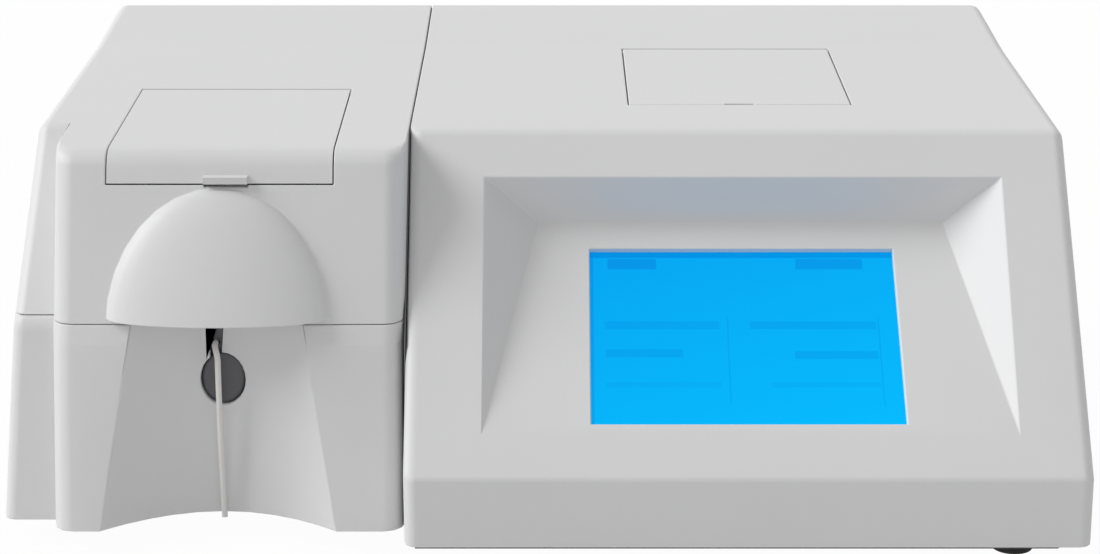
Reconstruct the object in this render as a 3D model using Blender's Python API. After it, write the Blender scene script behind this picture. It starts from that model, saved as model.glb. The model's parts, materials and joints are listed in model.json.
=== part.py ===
"""Benchtop chemistry analyzer: flow-cell lid, printer lid, sunken touch screen and sipper button.

Metres, +Z up. The origin is on the table under the middle of the footprint, the front faces -Y.
Casing points are written as (p, h): p is the depth behind the front lip, h the height above the
casing's lower edge.
"""

import math

import bmesh
import bpy
from mathutils import Matrix, Vector

# Casing: overall sizes and the outlines of its right part, left wing and front module
BODY_WIDTH = 0.419
LEFT_WIDTH = 0.1573
WING_WIDTH = 0.0213
BODY_DEPTH = 0.290
FOOT_HEIGHT = 0.008
TRAY_SHOW = 0.002
LEFT_DRAFT_SHARE = 0.058
RIGHT_DRAFT_SHARE = 0.0143
WALL = 0.003
GAP = 0.0003
OVERRUN = 0.004
ARC_STEPS = 3

LIP_HEIGHT = 0.0279
PANEL_TOP_DEPTH = 0.0891
PANEL_TOP_HEIGHT = 0.1404
RIDGE_BACK = 0.068
TOP_RISE = 0.0046
RIDGE_RISE = 0.006
LIP_ROUND = 0.004
PANEL_TOP_ROUND = 0.006
RIDGE_FOOT_ROUND = 0.010
REAR_TOP_ROUND = 0.005
FOOT_ROUND = 0.001
SIDE_ROUND = 0.005

WING_FOOT_DEPTH = 0.0262
WING_TURN_DEPTH = 0.0450
WING_TURN_HEIGHT = 0.0740
WING_TOP_DEPTH = 0.0976
MODULE_FOOT_DEPTH = 0.0148
MODULE_TURN_DEPTH = 0.0332
MODULE_TURN_HEIGHT = 0.0698
MODULE_TOP_DEPTH = 0.0605
TURN_ROUND = 0.012
MODULE_TOP_ROUND = 0.009
MODULE_ROUND = 0.008
PANEL_EDGE_ROUND = 0.005
HOOD_SEAM_HEIGHT = 0.077

# Openings between the two halves, at the rear and over the bays
PASS_FRONT = 0.112
PASS_REAR_INSET = 0.022
PASS_LOW = 0.015
PASS_DROP = 0.0154
REAR_RIM = 0.009
REAR_OPENING_DROP = 0.014
REAR_PANEL_THICK = 0.002
REAR_PANEL_INSET = 0.002
EDGE_GAP = 0.0005

# Screen recess on the sloped panel; s runs up the panel from the lip
RECESS_LEFT_RIM = 0.030
RECESS_RIGHT_RIM = 0.0282
RECESS_LOW = 0.0191
RECESS_TOP_RIM = 0.0203
RECESS_TOP_IN = 0.0122
RECESS_DEEP = 0.018
RECESS_SIDE_IN = 0.021
WINDOW_LEFT_RIM = 0.0414
WINDOW_RIGHT_RIM = 0.0421
WINDOW_LOW = 0.003
WINDOW_TOP_RIM = 0.0122
GLASS_THICK = 0.0018
GLASS_LAP = 0.0015
GLASS_SIDE_LAP = 0.003
LCD_THICK = 0.0075
LCD_SIDE_LAP = 0.006
BOARD_THICK = 0.0016
DISPLAY_CHIP_SIZE = 0.016
DISPLAY_CHIP_TALL = 0.003

# Dome over the button and the scoop below it
DOME_INSET = 0.072
DOME_HALF_WIDTH = 0.0425
DOME_LIFT = 0.002
DOME_TOP_DROP = 0.0017
DOME_PROUD = 0.011
DOME_REACH = 0.040
SCOOP_FOOT_DEEP = 0.020
SCOOP_SEAM_DEEP = 0.009
SCOOP_FOOT_HALF = 0.046
SCOOP_SEAM_HALF = 0.033
SCOOP_SIDE_STEPS = 14
SCOOP_LEVELS = 5
ROOF_LAP = 0.002

# Keyhole, sipper button, its spring and switch, the tube guide and the sipper tube
BUTTON_SIDE = 0.0008
BUTTON_HEIGHT = 0.053
KEY_WIDTH = 0.017
KEY_TALL = 0.020
SLOT_SIDE = 0.0027
SLOT_TOP_WIDTH = 0.006
SLOT_LOW_WIDTH = 0.004
SLOT_TOP = 0.0762
BUTTON_SUNK = 0.0008
BUTTON_FLANGE = 0.002
BUTTON_FLANGE_LAP = 0.0015
BUTTON_FLANGE_PLAY = 0.0008
BUTTON_TRAVEL = 0.003
BUTTON_STEM = 0.003
SWITCH_SIZE = 0.012
SWITCH_DEEP = 0.003
BRACKET_WIDTH = 0.032
BRACKET_TALL = 0.010
BRACKET_THICK = 0.002
BRACKET_POST = 0.005
SPRING_LENGTH = 0.009
SPRING_RADIUS = 0.0045
SPRING_WIRE = 0.0004
SPRING_TURNS = 4
SPRING_TURN_POINTS = 10
GUIDE_BORE = 0.0015
GUIDE_LIP = 0.0006
SIPPER_RADIUS = 0.00115
SIPPER_STRAIGHT = 0.002
SIPPER_BEND = 0.0055
SIPPER_LEAN = math.radians(4.4)
SIPPER_END_HEIGHT = -0.001
SIPPER_SIDE = 0.0015
SIPPER_DRIFT = 0.0008
FEED_RUN = 0.0105
SIPPER_BEND_POINTS = 6
SIPPER_DROP_POINTS = 11

# Flow-cell lid and the frame of the cell bay
CELL_LID_LEFT_RIM = 0.0210
CELL_LID_RIGHT_RIM = 0.0280
CELL_LID_FRONT_DROP = 0.0127
CELL_LID_AXIS_DEPTH = 0.1480
LID_PIN_SINK = 0.0017
LID_PIN = 0.0008
LID_PIN_SEAT = 0.002
FINGER_SIDE = 0.003
FINGER_WIDTH = 0.017
FINGER_PROUD = 0.0025
FINGER_TALL = 0.003
FINGER_NOTCH_DEEP = 0.002
FINGER_NOTCH_TALL = 0.0015
BAY_FRAME_FRONT = 0.068
BAY_FRAME_SINK = 0.0038
BAY_FRAME_TALL = 0.012
BAY_FRAME_LAP = 0.003
BAY_FRAME_LEDGE = 0.004

# Printer lid and what is below it
PRINTER_LID_RIGHT_RIM = 0.0824
PRINTER_LID_WIDTH = 0.091
PRINTER_LID_FRONT = 0.1258
PRINTER_LID_AXIS_BACK = 0.075
PRINTER_NOTCH_WIDTH = 0.012
PRINTER_NOTCH_DEEP = 0.0016
TUB_FLOOR = 0.003
TUB_DEEP = 0.0564
PAPER_RADIUS = 0.020
PAPER_CORE = 0.0063
PAPER_WIDTH = 0.057
PAPER_SIDE = 0.0117
PAPER_BACK = 0.029
PAPER_DROP = 0.0289
SPINDLE_RADIUS = 0.0060
PLATEN_BACK = 0.0187
PLATEN_DROP = 0.0159
PLATEN_RADIUS = 0.0045
PLATEN_AXLE = 0.002
HEAD_THICK = 0.006
HEAD_TALL = 0.010
GEAR_MODULE = 0.001
PLATEN_TEETH = 20
PINION_TEETH = 14
GEAR_WIDTH = 0.004
GEAR_SHIFT = 0.0002
GEAR_ADDENDUM = 0.0008
GEAR_DEDENDUM = 0.0012
TOOTH_ROOT_SHARE = 0.27
TOOTH_TIP_SHARE = 0.13
MOTOR_RADIUS = 0.0065
MOTOR_LENGTH = 0.022
MOTOR_CRADLE = 0.003

# Peristaltic pump in the left part
PUMP_DEPTH = 0.100
PUMP_HEIGHT = 0.040
PUMP_INSET = 0.0153
PUMP_WIDTH = 0.016
PUMP_BLOCK = 0.048
PUMP_FLOOR = 0.003
PUMP_TRACK = 0.0188
PUMP_ROTOR = 0.0138
PUMP_ROLLER = 0.0045
PUMP_DISC_RADIUS = 0.0125
PUMP_DISC = 0.0022
PUMP_HUB = 0.005
PUMP_ROLLERS = 3
PUMP_TUBE = 0.002
PUMP_ARC_POINTS = 14
PUMP_MOTOR_RADIUS = 0.015
PUMP_MOTOR_LENGTH = 0.029
SHAFT_RADIUS = 0.002
SHAFT_PLAY = 0.0004

# Optical bench: detector, cell block, filter wheel, lens tube and lamp house along one axis
OPTIC_HEIGHT = 0.085
BENCH_TOP = 0.039
BENCH_THICK = 0.003
BENCH_WIDTH = 0.046
BENCH_FRONT = 0.066
BENCH_BACK = 0.026
BENCH_LEG = 0.006
DETECTOR_DEPTH = 0.070
DETECTOR_WIDTH = 0.036
DETECTOR_TALL = 0.060
DETECTOR_CAN = 0.005
DETECTOR_CAN_LENGTH = 0.008
CELL_BLOCK_SIZE = 0.030
CELL_BLOCK_FRONT = 0.092
CELL_BLOCK_LOW = 0.070
LIGHT_BORE = 0.0025
CUVETTE_SIZE = 0.012
CUVETTE_FLOOR = 0.006
CUVETTE_PROUD = 0.005
PELTIER_THICK = 0.0038
HEAT_SINK_WIDTH = 0.036
HEAT_SINK_BASE = 0.004
FIN_THICK = 0.002
FIN_COUNT = 6
WHEEL_DEPTH = 0.150
WHEEL_THICK = 0.005
WHEEL_RADIUS = 0.023
FILTER_CIRCLE = 0.017
FILTER_RADIUS = 0.0045
FILTER_COUNT = 8
WHEEL_MOTOR_RADIUS = 0.009
WHEEL_MOTOR_LENGTH = 0.024
WHEEL_SHAFT_LENGTH = 0.0025
LENS_RADIUS = 0.0062
LENS_FRONT = 0.162
LAMP_HOUSE_BACK = 0.084
LAMP_HOUSE_DEEP = 0.054
LAMP_HOUSE_WIDTH = 0.044
LAMP_HOUSE_TALL = 0.068
LAMP_WALL = 0.003
LAMP_RADIUS = 0.006
LAMP_BASE_RADIUS = 0.010
LAMP_BASE_TALL = 0.026
LAMP_TALL = 0.052
VENT_WIDTH = 0.003
VENT_STEP = 0.009

# Fan and the fittings of the rear panel
FAN_SIZE = 0.050
FAN_DEEP = 0.015
FAN_BORE = 0.0235
FAN_BLADE_RADIUS = 0.0222
FAN_HUB = 0.009
FAN_BLADES = 7
FAN_BLADE_THICK = 0.0015
FAN_BLADE_TWIST = 30.0
FAN_SPIDER = 0.0025
FAN_SPIDER_WIDTH = 0.004
GRILLE_SLOTS = 7
GRILLE_SLOT_WIDTH = 0.003
GRILLE_STEP = 0.0058

INLET_INSET = 0.0387
INLET_WIDTH = 0.027
INLET_TALL = 0.020
INLET_DEEP = 0.020
INLET_POCKET = 0.014
FLANGE_LAP = 0.003
FLANGE_THICK = 0.0015
POWER_ROW_HEIGHT = 0.078
PIN_WIDTH = 0.002
PIN_STEP = 0.007
PIN_LENGTH = 0.010
SOCKET_WALL = 0.003
FUSE_STEP = 0.030
FUSE_RADIUS = 0.0065
FUSE_LENGTH = 0.022
ROCKER_STEP = 0.026
ROCKER_WIDTH = 0.013
ROCKER_TALL = 0.019
ROCKER_THICK = 0.0045
ROCKER_SUNK = 0.002
ROCKER_PLAY = 0.001
ROCKER_POCKET = 0.0085
ROCKER_FRAME_WALL = 0.002
ROCKER_FRAME_DEEP = 0.014
ROCKER_AXLE = 0.001
ROCKER_AXLE_REACH = 0.0012
ROCKER_TILT = 9.0
SERIAL_INSET = 0.066
SERIAL_WIDTH = 0.031
SERIAL_TALL = 0.0125
PORT_DEEP = 0.018
PORT_WALL = 0.0015
PORT_POCKET = 0.006
USB_INSET = 0.065
USB_WIDTH = 0.014
USB_TALL = 0.0075
WASTE_INSET = 0.0293
WASTE_RADIUS = 0.005
WASTE_FLANGE = 0.008
WASTE_BORE = 0.0016
WASTE_LENGTH = 0.014

# Base tray, feet, mainboard and power supply
TRAY_SHEET = 0.0015
TRAY_FLANGE = 0.012
TRAY_LEFT_FRONT = 0.042
TRAY_CHAMFER = 0.009
TRAY_SEAM_PLAY = 0.001
FOOT_RADIUS = 0.008
FOOT_TOP_RADIUS = 0.0095
FOOT_INSET_X = 0.026
FOOT_INSET_Y = 0.024
MAIN_INSET = 0.010
MAIN_SIDE_GAP = 0.012
MAIN_FRONT = 0.125
MAIN_BACK = 0.009
STANDOFF_INSET = 0.004
STANDOFF_TALL = 0.006
STANDOFF_SIZE = 0.006
CHIP_SIZE = 0.018
CHIP_TALL = 0.003
PSU_INSET = 0.0747
PSU_WIDTH = 0.062
PSU_LENGTH = 0.112
PSU_BACK = 0.013
PSU_TALL = 0.044
PSU_VENTS = 5
PSU_VENT_DEEP = 0.002

ROUND_SEGMENTS = 24
DOME_SEGMENTS = 28
DOME_RINGS = 16
SMOOTH_ANGLE = 40.0
SMALL_SEGMENTS = 16

CASING_LIFT = FOOT_HEIGHT + TRAY_SHOW
HALF_DEPTH = BODY_DEPTH / 2
LEFT_END = -BODY_WIDTH / 2
RIGHT_END = BODY_WIDTH / 2
MODULE_LEFT = LEFT_END + WING_WIDTH
SEAM_X = LEFT_END + LEFT_WIDTH
BELOW_FLOOR = -0.0206
REAR_PANEL_FRONT = BODY_DEPTH - REAR_PANEL_INSET - REAR_PANEL_THICK
REAR_PANEL_FACE = BODY_DEPTH - REAR_PANEL_INSET
TRAY_TOP = TRAY_SHEET - TRAY_SHOW

RIDGE_START_DEPTH = BODY_DEPTH - RIDGE_BACK
RIDGE_START_HEIGHT = PANEL_TOP_HEIGHT + TOP_RISE
RIDGE_HEIGHT = RIDGE_START_HEIGHT + RIDGE_RISE
REAR_OPENING_TOP = RIDGE_HEIGHT - REAR_OPENING_DROP
REAR_OPENING_LEFT = LEFT_END + REAR_RIM + LEFT_DRAFT_SHARE * REAR_OPENING_TOP
PASS_REAR = BODY_DEPTH - PASS_REAR_INSET
PASS_HIGH = PANEL_TOP_HEIGHT - PASS_DROP

PANEL_ANGLE = math.atan2(PANEL_TOP_DEPTH, PANEL_TOP_HEIGHT - LIP_HEIGHT)
PANEL_LENGTH = math.hypot(PANEL_TOP_DEPTH, PANEL_TOP_HEIGHT - LIP_HEIGHT)
TOP_SLOPE = (RIDGE_START_HEIGHT - PANEL_TOP_HEIGHT) / (RIDGE_START_DEPTH - PANEL_TOP_DEPTH)
RECESS_LEFT = SEAM_X + RECESS_LEFT_RIM
RECESS_RIGHT = RIGHT_END - RECESS_RIGHT_RIM
RECESS_HIGH = PANEL_LENGTH - RECESS_TOP_RIM
RECESS_FLOOR_HIGH = RECESS_HIGH - RECESS_TOP_IN
RECESS_ANGLE = math.atan2(RECESS_DEEP, RECESS_FLOOR_HIGH - RECESS_LOW)
WINDOW_LEFT = RECESS_LEFT + WINDOW_LEFT_RIM
WINDOW_WIDTH = RECESS_RIGHT - WINDOW_RIGHT_RIM - WINDOW_LEFT
WINDOW_LENGTH = math.hypot(RECESS_DEEP, RECESS_FLOOR_HIGH - RECESS_LOW) - WINDOW_LOW - WINDOW_TOP_RIM

CELL_LID_LEFT = MODULE_LEFT + CELL_LID_LEFT_RIM
CELL_LID_RIGHT = SEAM_X - CELL_LID_RIGHT_RIM
CELL_LID_FRONT_HEIGHT = PANEL_TOP_HEIGHT - CELL_LID_FRONT_DROP
DOME_X = SEAM_X - DOME_INSET
DOME_RISE = CELL_LID_FRONT_HEIGHT - HOOD_SEAM_HEIGHT - DOME_TOP_DROP
FINGER_X = DOME_X + FINGER_SIDE
BUTTON_X = DOME_X + BUTTON_SIDE
SLOT_X = BUTTON_X - SLOT_SIDE
OPTIC_X = DOME_X
PUMP_LEFT = LEFT_END + PUMP_INSET
WASTE_X = LEFT_END + WASTE_INSET
BENCH_REAR = BODY_DEPTH - BENCH_BACK
LAMP_HOUSE_FRONT = BODY_DEPTH - LAMP_HOUSE_BACK

PRINTER_LID_LEFT = RIGHT_END - PRINTER_LID_RIGHT_RIM - PRINTER_LID_WIDTH
PRINTER_LID_AXIS_DEPTH = BODY_DEPTH - PRINTER_LID_AXIS_BACK
TUB_BOTTOM = PANEL_TOP_HEIGHT - TUB_DEEP
PAPER_LEFT = PRINTER_LID_LEFT + PAPER_SIDE
PAPER_DEPTH = PRINTER_LID_AXIS_DEPTH - PAPER_BACK
PAPER_HEIGHT = PANEL_TOP_HEIGHT - PAPER_DROP
PLATEN_DEPTH = PRINTER_LID_FRONT + PLATEN_BACK
PLATEN_HEIGHT = PANEL_TOP_HEIGHT - PLATEN_DROP

INLET_X = RIGHT_END - INLET_INSET
FUSE_X = INLET_X - FUSE_STEP
ROCKER_X = FUSE_X - ROCKER_STEP
PSU_LEFT = RIGHT_END - PSU_INSET
PSU_REAR = BODY_DEPTH - PSU_BACK
PSU_FRONT = PSU_REAR - PSU_LENGTH
MAIN_LEFT = SEAM_X + MAIN_INSET
MAIN_WIDTH = PSU_LEFT - MAIN_SIDE_GAP - MAIN_LEFT
MAIN_REAR = BODY_DEPTH - MAIN_BACK
SERIAL_X = PSU_LEFT - SERIAL_INSET
USB_X = MAIN_LEFT + USB_INSET


def remove_startup_objects():
    for thing in list(bpy.data.objects):
        bpy.data.objects.remove(thing, do_unlink=True)


def top_height(p):
    """Height of the top plane at depth p."""
    return PANEL_TOP_HEIGHT + (p - PANEL_TOP_DEPTH) * TOP_SLOPE


def module_face(h):
    """Depth of the module's front at height h, above or below its turn."""
    low_slope = (MODULE_TURN_DEPTH - MODULE_FOOT_DEPTH) / MODULE_TURN_HEIGHT
    high_rise = top_height(MODULE_TOP_DEPTH) - MODULE_TURN_HEIGHT
    high_slope = (MODULE_TOP_DEPTH - MODULE_TURN_DEPTH) / high_rise
    if h < MODULE_TURN_HEIGHT:
        return MODULE_FOOT_DEPTH + low_slope * h
    return MODULE_TURN_DEPTH + high_slope * (h - MODULE_TURN_HEIGHT)


def scoop_share(h):
    """Nought at the casing's foot, one at the hood's seam."""
    return max(0.0, min(1.0, h / HOOD_SEAM_HEIGHT))


def scoop_depth(h):
    return SCOOP_FOOT_DEEP + (SCOOP_SEAM_DEEP - SCOOP_FOOT_DEEP) * scoop_share(h)


def world(p, h):
    """World y and z of a casing point."""
    return p - HALF_DEPTH, h + CASING_LIFT


def make_material(name, colour, roughness, metallic=0.0):
    """A plain Principled finish."""
    finish = bpy.data.materials.new(name)
    finish.use_nodes = True
    shader = finish.node_tree.nodes["Principled BSDF"]
    shader.inputs["Base Color"].default_value = (*colour, 1.0)
    shader.inputs["Roughness"].default_value = roughness
    shader.inputs["Metallic"].default_value = metallic
    return finish


def make_finishes():
    return {
        "shell": make_material("light_grey_plastic", (0.74, 0.74, 0.74), 0.45),
        "dark": make_material("dark_grey_plastic", (0.07, 0.07, 0.08), 0.5),
        "button": make_material("button_grey_plastic", (0.09, 0.09, 0.1), 0.4),
        "tray": make_material("painted_tray_steel", (0.05, 0.05, 0.05), 0.6, 0.2),
        "steel": make_material("steel", (0.6, 0.6, 0.6), 0.3, 1.0),
        "alloy": make_material("aluminium", (0.7, 0.7, 0.72), 0.35, 1.0),
        "glass": make_material("screen_glass", (0.0, 0.44, 0.97), 0.1),
        "clear": make_material("cell_glass", (0.8, 0.9, 0.9), 0.05),
        "board": make_material("circuit_board", (0.02, 0.2, 0.06), 0.5),
        "rubber": make_material("black_rubber", (0.03, 0.03, 0.03), 0.8),
        "tube": make_material("white_tube", (0.85, 0.85, 0.83), 0.35),
        "paper": make_material("paper", (0.9, 0.9, 0.88), 0.9),
    }


def add_object(name, mesh_or_curve, finish):
    """Put the data block into the scene under its node's name."""
    thing = bpy.data.objects.new(name, mesh_or_curve)
    bpy.context.scene.collection.objects.link(thing)
    if finish is not None:
        thing.data.materials.append(finish)
    return thing


def mesh_object(name, build, finish, smooth_angle=None):
    """Make an object from a bmesh whose faces are turned outwards."""
    bmesh.ops.recalc_face_normals(build, faces=build.faces)
    mesh = bpy.data.meshes.new(name)
    build.to_mesh(mesh)
    build.free()
    if smooth_angle is not None:
        mesh.shade_smooth()
        mesh.set_sharp_from_angle(angle=math.radians(smooth_angle))
    return add_object(name, mesh, finish)


def set_origin(thing, x, y, z):
    """Put a moving piece's origin on its joint's axis."""
    thing.data.transform(Matrix.Translation((-x, -y, -z)))
    thing.location = (x, y, z)


def cutter(thing):
    """Hide a helper that only shapes another object."""
    thing.hide_render = True
    thing.display_type = "WIRE"
    return thing


def combine(target, helper, operation):
    """Cut, join or intersect with a helper object."""
    cutter(helper)
    step = target.modifiers.new(helper.name, "BOOLEAN")
    step.operation = operation
    step.solver = "EXACT"
    step.object = helper


def cut(target, *helpers):
    for helper in helpers:
        combine(target, helper, "DIFFERENCE")


def join(target, *helpers):
    for helper in helpers:
        combine(target, helper, "UNION")


def box(name, x_range, y_range, z_range, finish=None):
    """A block between world limits."""
    build = bmesh.new()
    bmesh.ops.create_cube(build, size=1.0)
    low = Vector((x_range[0], y_range[0], z_range[0]))
    high = Vector((x_range[1], y_range[1], z_range[1]))
    bmesh.ops.scale(build, vec=high - low, verts=build.verts)
    bmesh.ops.translate(build, vec=(low + high) / 2, verts=build.verts)
    return mesh_object(name, build, finish)


def casing_box(name, x_range, p_range, h_range, finish=None):
    """A block between casing limits."""
    y_low, z_low = world(p_range[0], h_range[0])
    y_high, z_high = world(p_range[1], h_range[1])
    return box(name, x_range, (y_low, y_high), (z_low, z_high), finish)


def loft(name, loops, finish=None, smooth_angle=None):
    """Join closed loops of equal count into one closed body."""
    build = bmesh.new()
    rings = [[build.verts.new(point) for point in loop] for loop in loops]
    for first, second in zip(rings, rings[1:]):
        for index in range(len(first)):
            follow = (index + 1) % len(first)
            build.faces.new((first[index], first[follow], second[follow], second[index]))
    build.faces.new(rings[0])
    build.faces.new(rings[-1])
    return mesh_object(name, build, finish, smooth_angle)


def side_prism(name, outline, x_range, finish=None):
    """Extrude an outline of casing points along X."""
    loops = []
    for x in x_range:
        loops.append([(x, *world(p, h)) for p, h in outline])
    return loft(name, loops, finish)


def turned(name, profile, centre, axis, finish=None, segments=ROUND_SEGMENTS):
    """Turn a profile of (radius, distance along axis) about an axis; a radius of nought closes an end."""
    build = bmesh.new()
    rings = []
    for radius, along in profile:
        if radius == 0:
            rings.append([build.verts.new((0, 0, along))])
            continue
        ring = []
        for index in range(segments):
            angle = 2 * math.pi * index / segments
            ring.append(build.verts.new((radius * math.cos(angle), radius * math.sin(angle), along)))
        rings.append(ring)
    pairs = list(zip(rings, rings[1:]))
    if len(rings[0]) > 1 and len(rings[-1]) > 1:
        pairs.append((rings[-1], rings[0]))
    for first, second in pairs:
        for index in range(segments):
            follow = (index + 1) % segments
            if len(first) == 1:
                build.faces.new((first[0], second[index], second[follow]))
            elif len(second) == 1:
                build.faces.new((first[index], first[follow], second[0]))
            else:
                build.faces.new((first[index], first[follow], second[follow], second[index]))
    turn = {"X": Matrix.Rotation(math.pi / 2, 4, "Y"), "Y": Matrix.Rotation(-math.pi / 2, 4, "X"),
            "Z": Matrix.Identity(4)}[axis]
    bmesh.ops.transform(build, matrix=Matrix.Translation(centre) @ turn, verts=build.verts)
    return mesh_object(name, build, finish, smooth_angle=SMOOTH_ANGLE)


def rod(name, radius, start, length, axis, finish=None, segments=ROUND_SEGMENTS):
    """A solid round bar from a start point."""
    profile = [(0, 0), (radius, 0), (radius, length), (0, length)]
    return turned(name, profile, start, axis, finish, segments)


def ring(name, outer, inner, start, length, axis, finish=None, segments=ROUND_SEGMENTS):
    """A round bar with a bore."""
    profile = [(outer, 0), (outer, length), (inner, length), (inner, 0)]
    return turned(name, profile, start, axis, finish, segments)


def offset_outline(corners, inset):
    """Move every side of a closed outline inwards and keep its corners."""
    count = len(corners)
    area = 0.0
    for index in range(count):
        p_here, h_here = corners[index][:2]
        p_next, h_next = corners[(index + 1) % count][:2]
        area += p_here * h_next - p_next * h_here
    turn = 1.0 if area > 0 else -1.0
    moved = []
    for index in range(count):
        before = Vector(corners[index - 1][:2])
        here = Vector(corners[index][:2])
        after = Vector(corners[(index + 1) % count][:2])
        first = (here - before).normalized()
        second = (after - here).normalized()
        first_in = Vector((-first.y, first.x)) * turn
        second_in = Vector((-second.y, second.x)) * turn
        reach = inset / (1.0 + first_in.dot(second_in))
        moved.append((here + (first_in + second_in) * reach, first, second, turn))
    return moved


def rounded_outline(corners, inset=0.0):
    """Offset a closed outline and round its corners, with the same number of points for any offset."""
    points = []
    for (corner, first, second, turn), source in zip(offset_outline(corners, inset), corners):
        convex = first.cross(second) * turn > 0
        radius = max(source[2] - inset, FOOT_ROUND / 2) if convex else source[2] + inset
        half = first.angle(second) / 2
        reach = radius * math.tan(half)
        start = corner - first * reach
        end = corner + second * reach
        normal = (second - first).normalized()
        centre = corner + normal * (radius / math.cos(half))
        sweep = 2 * half
        spin = 1.0 if first.cross(second) > 0 else -1.0
        arm = start - centre
        for index in range(ARC_STEPS + 1):
            angle = spin * sweep * index / ARC_STEPS
            turned_arm = Vector((arm.x * math.cos(angle) - arm.y * math.sin(angle),
                                 arm.x * math.sin(angle) + arm.y * math.cos(angle)))
            points.append(tuple(centre + turned_arm) if index < ARC_STEPS else tuple(end))
    return points


def panel_corners(shift=0.0):
    """Right part: lip, sloped panel, top, ridge and rear."""
    return [
        (BODY_DEPTH, BELOW_FLOOR, FOOT_ROUND),
        (shift, BELOW_FLOOR, FOOT_ROUND),
        (shift, LIP_HEIGHT, LIP_ROUND),
        (PANEL_TOP_DEPTH + shift, top_height(PANEL_TOP_DEPTH + shift), PANEL_TOP_ROUND),
        (RIDGE_START_DEPTH, RIDGE_START_HEIGHT, RIDGE_FOOT_ROUND),
        (BODY_DEPTH, RIDGE_HEIGHT, REAR_TOP_ROUND),
    ]


def left_corners(foot, turn, turn_height, top, top_round, shift=0.0):
    """Left part: foot, turn and top edge of the wing or of the module."""
    slope = (turn - foot) / turn_height
    return [
        (BODY_DEPTH, BELOW_FLOOR, FOOT_ROUND),
        (foot + slope * BELOW_FLOOR + shift, BELOW_FLOOR, FOOT_ROUND),
        (turn + shift, turn_height, TURN_ROUND),
        (top + shift, top_height(top + shift), top_round),
        (RIDGE_START_DEPTH, RIDGE_START_HEIGHT, RIDGE_FOOT_ROUND),
        (BODY_DEPTH, RIDGE_HEIGHT, REAR_TOP_ROUND),
    ]


def wing_corners():
    return left_corners(WING_FOOT_DEPTH, WING_TURN_DEPTH, WING_TURN_HEIGHT, WING_TOP_DEPTH, PANEL_TOP_ROUND)


def module_corners(shift=0.0):
    return left_corners(MODULE_FOOT_DEPTH, MODULE_TURN_DEPTH, MODULE_TURN_HEIGHT, MODULE_TOP_DEPTH,
                        MODULE_TOP_ROUND, shift)


def station(x, corners, inset, draft):
    """One cross-section of the casing; draft leans an outer side inwards as it rises."""
    loop = []
    for p, h in rounded_outline(corners, inset):
        loop.append((x - draft * h, *world(p, h)))
    return loop


def quarter(radius):
    """Pairs of (distance in from the edge, rest of the rounding) over a quarter turn."""
    steps = []
    for index in range(ARC_STEPS + 1):
        angle = math.pi / 2 * index / ARC_STEPS
        steps.append((radius * (1 - math.cos(angle)), radius * (1 - math.sin(angle))))
    return steps


def right_form(name, inset):
    """Whole outer form of the right part, or its hollow when inset is the wall."""
    side = max(SIDE_ROUND - inset, FOOT_ROUND)
    edge = max(PANEL_EDGE_ROUND - inset, FOOT_ROUND)
    left = SEAM_X + GAP + inset
    right = RIGHT_END - inset
    loops = [station(left + into, panel_corners(rest), inset, 0.0) for into, rest in quarter(edge)]
    for into, rest in reversed(quarter(side)):
        loops.append(station(right - into, panel_corners(), inset + rest, RIGHT_DRAFT_SHARE))
    return loft(name, loops)


def left_form(name, inset):
    """Whole outer form of wing and module, or its hollow when inset is the wall."""
    side = max(SIDE_ROUND - inset, FOOT_ROUND)
    corner = max(MODULE_ROUND - inset, FOOT_ROUND)
    left = LEFT_END + inset
    step_x = MODULE_LEFT + inset
    right = SEAM_X - GAP - inset
    loops = [station(left + into, wing_corners(), inset + rest, -LEFT_DRAFT_SHARE)
             for into, rest in quarter(side)]
    loops.append(station(step_x - GAP, wing_corners(), inset, 0.0))
    for into, rest in quarter(corner):
        loops.append(station(step_x + into, module_corners(rest), inset, 0.0))
    for into, rest in reversed(quarter(corner)):
        loops.append(station(right - into, module_corners(rest), inset, 0.0))
    return loft(name, loops)


def space_below(name, h):
    return casing_box(name, (-BODY_WIDTH, BODY_WIDTH), (-BODY_DEPTH, 2 * BODY_DEPTH), (-BODY_DEPTH, h))


def space_above(name, h):
    return casing_box(name, (-BODY_WIDTH, BODY_WIDTH), (-BODY_DEPTH, 2 * BODY_DEPTH), (h, BODY_DEPTH))


def rear_cut(name, x_range):
    """Opening of a shell's rear wall, where the rear panel sits."""
    return casing_box(name, x_range, (BODY_DEPTH - WALL - OVERRUN, BODY_DEPTH + OVERRUN),
                      (-OVERRUN, REAR_OPENING_TOP))


def pass_cut(name):
    """Way through for cables between the two halves."""
    return casing_box(name, (SEAM_X - WALL - OVERRUN, SEAM_X + WALL + OVERRUN),
                      (PASS_FRONT, PASS_REAR), (PASS_LOW, PASS_HIGH))


def panel_point(x, s, d):
    """World point at s up the sloped panel and d below its face."""
    p = s * math.sin(PANEL_ANGLE) + d * math.cos(PANEL_ANGLE)
    h = LIP_HEIGHT + s * math.cos(PANEL_ANGLE) - d * math.sin(PANEL_ANGLE)
    return (x, *world(p, h))


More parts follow.
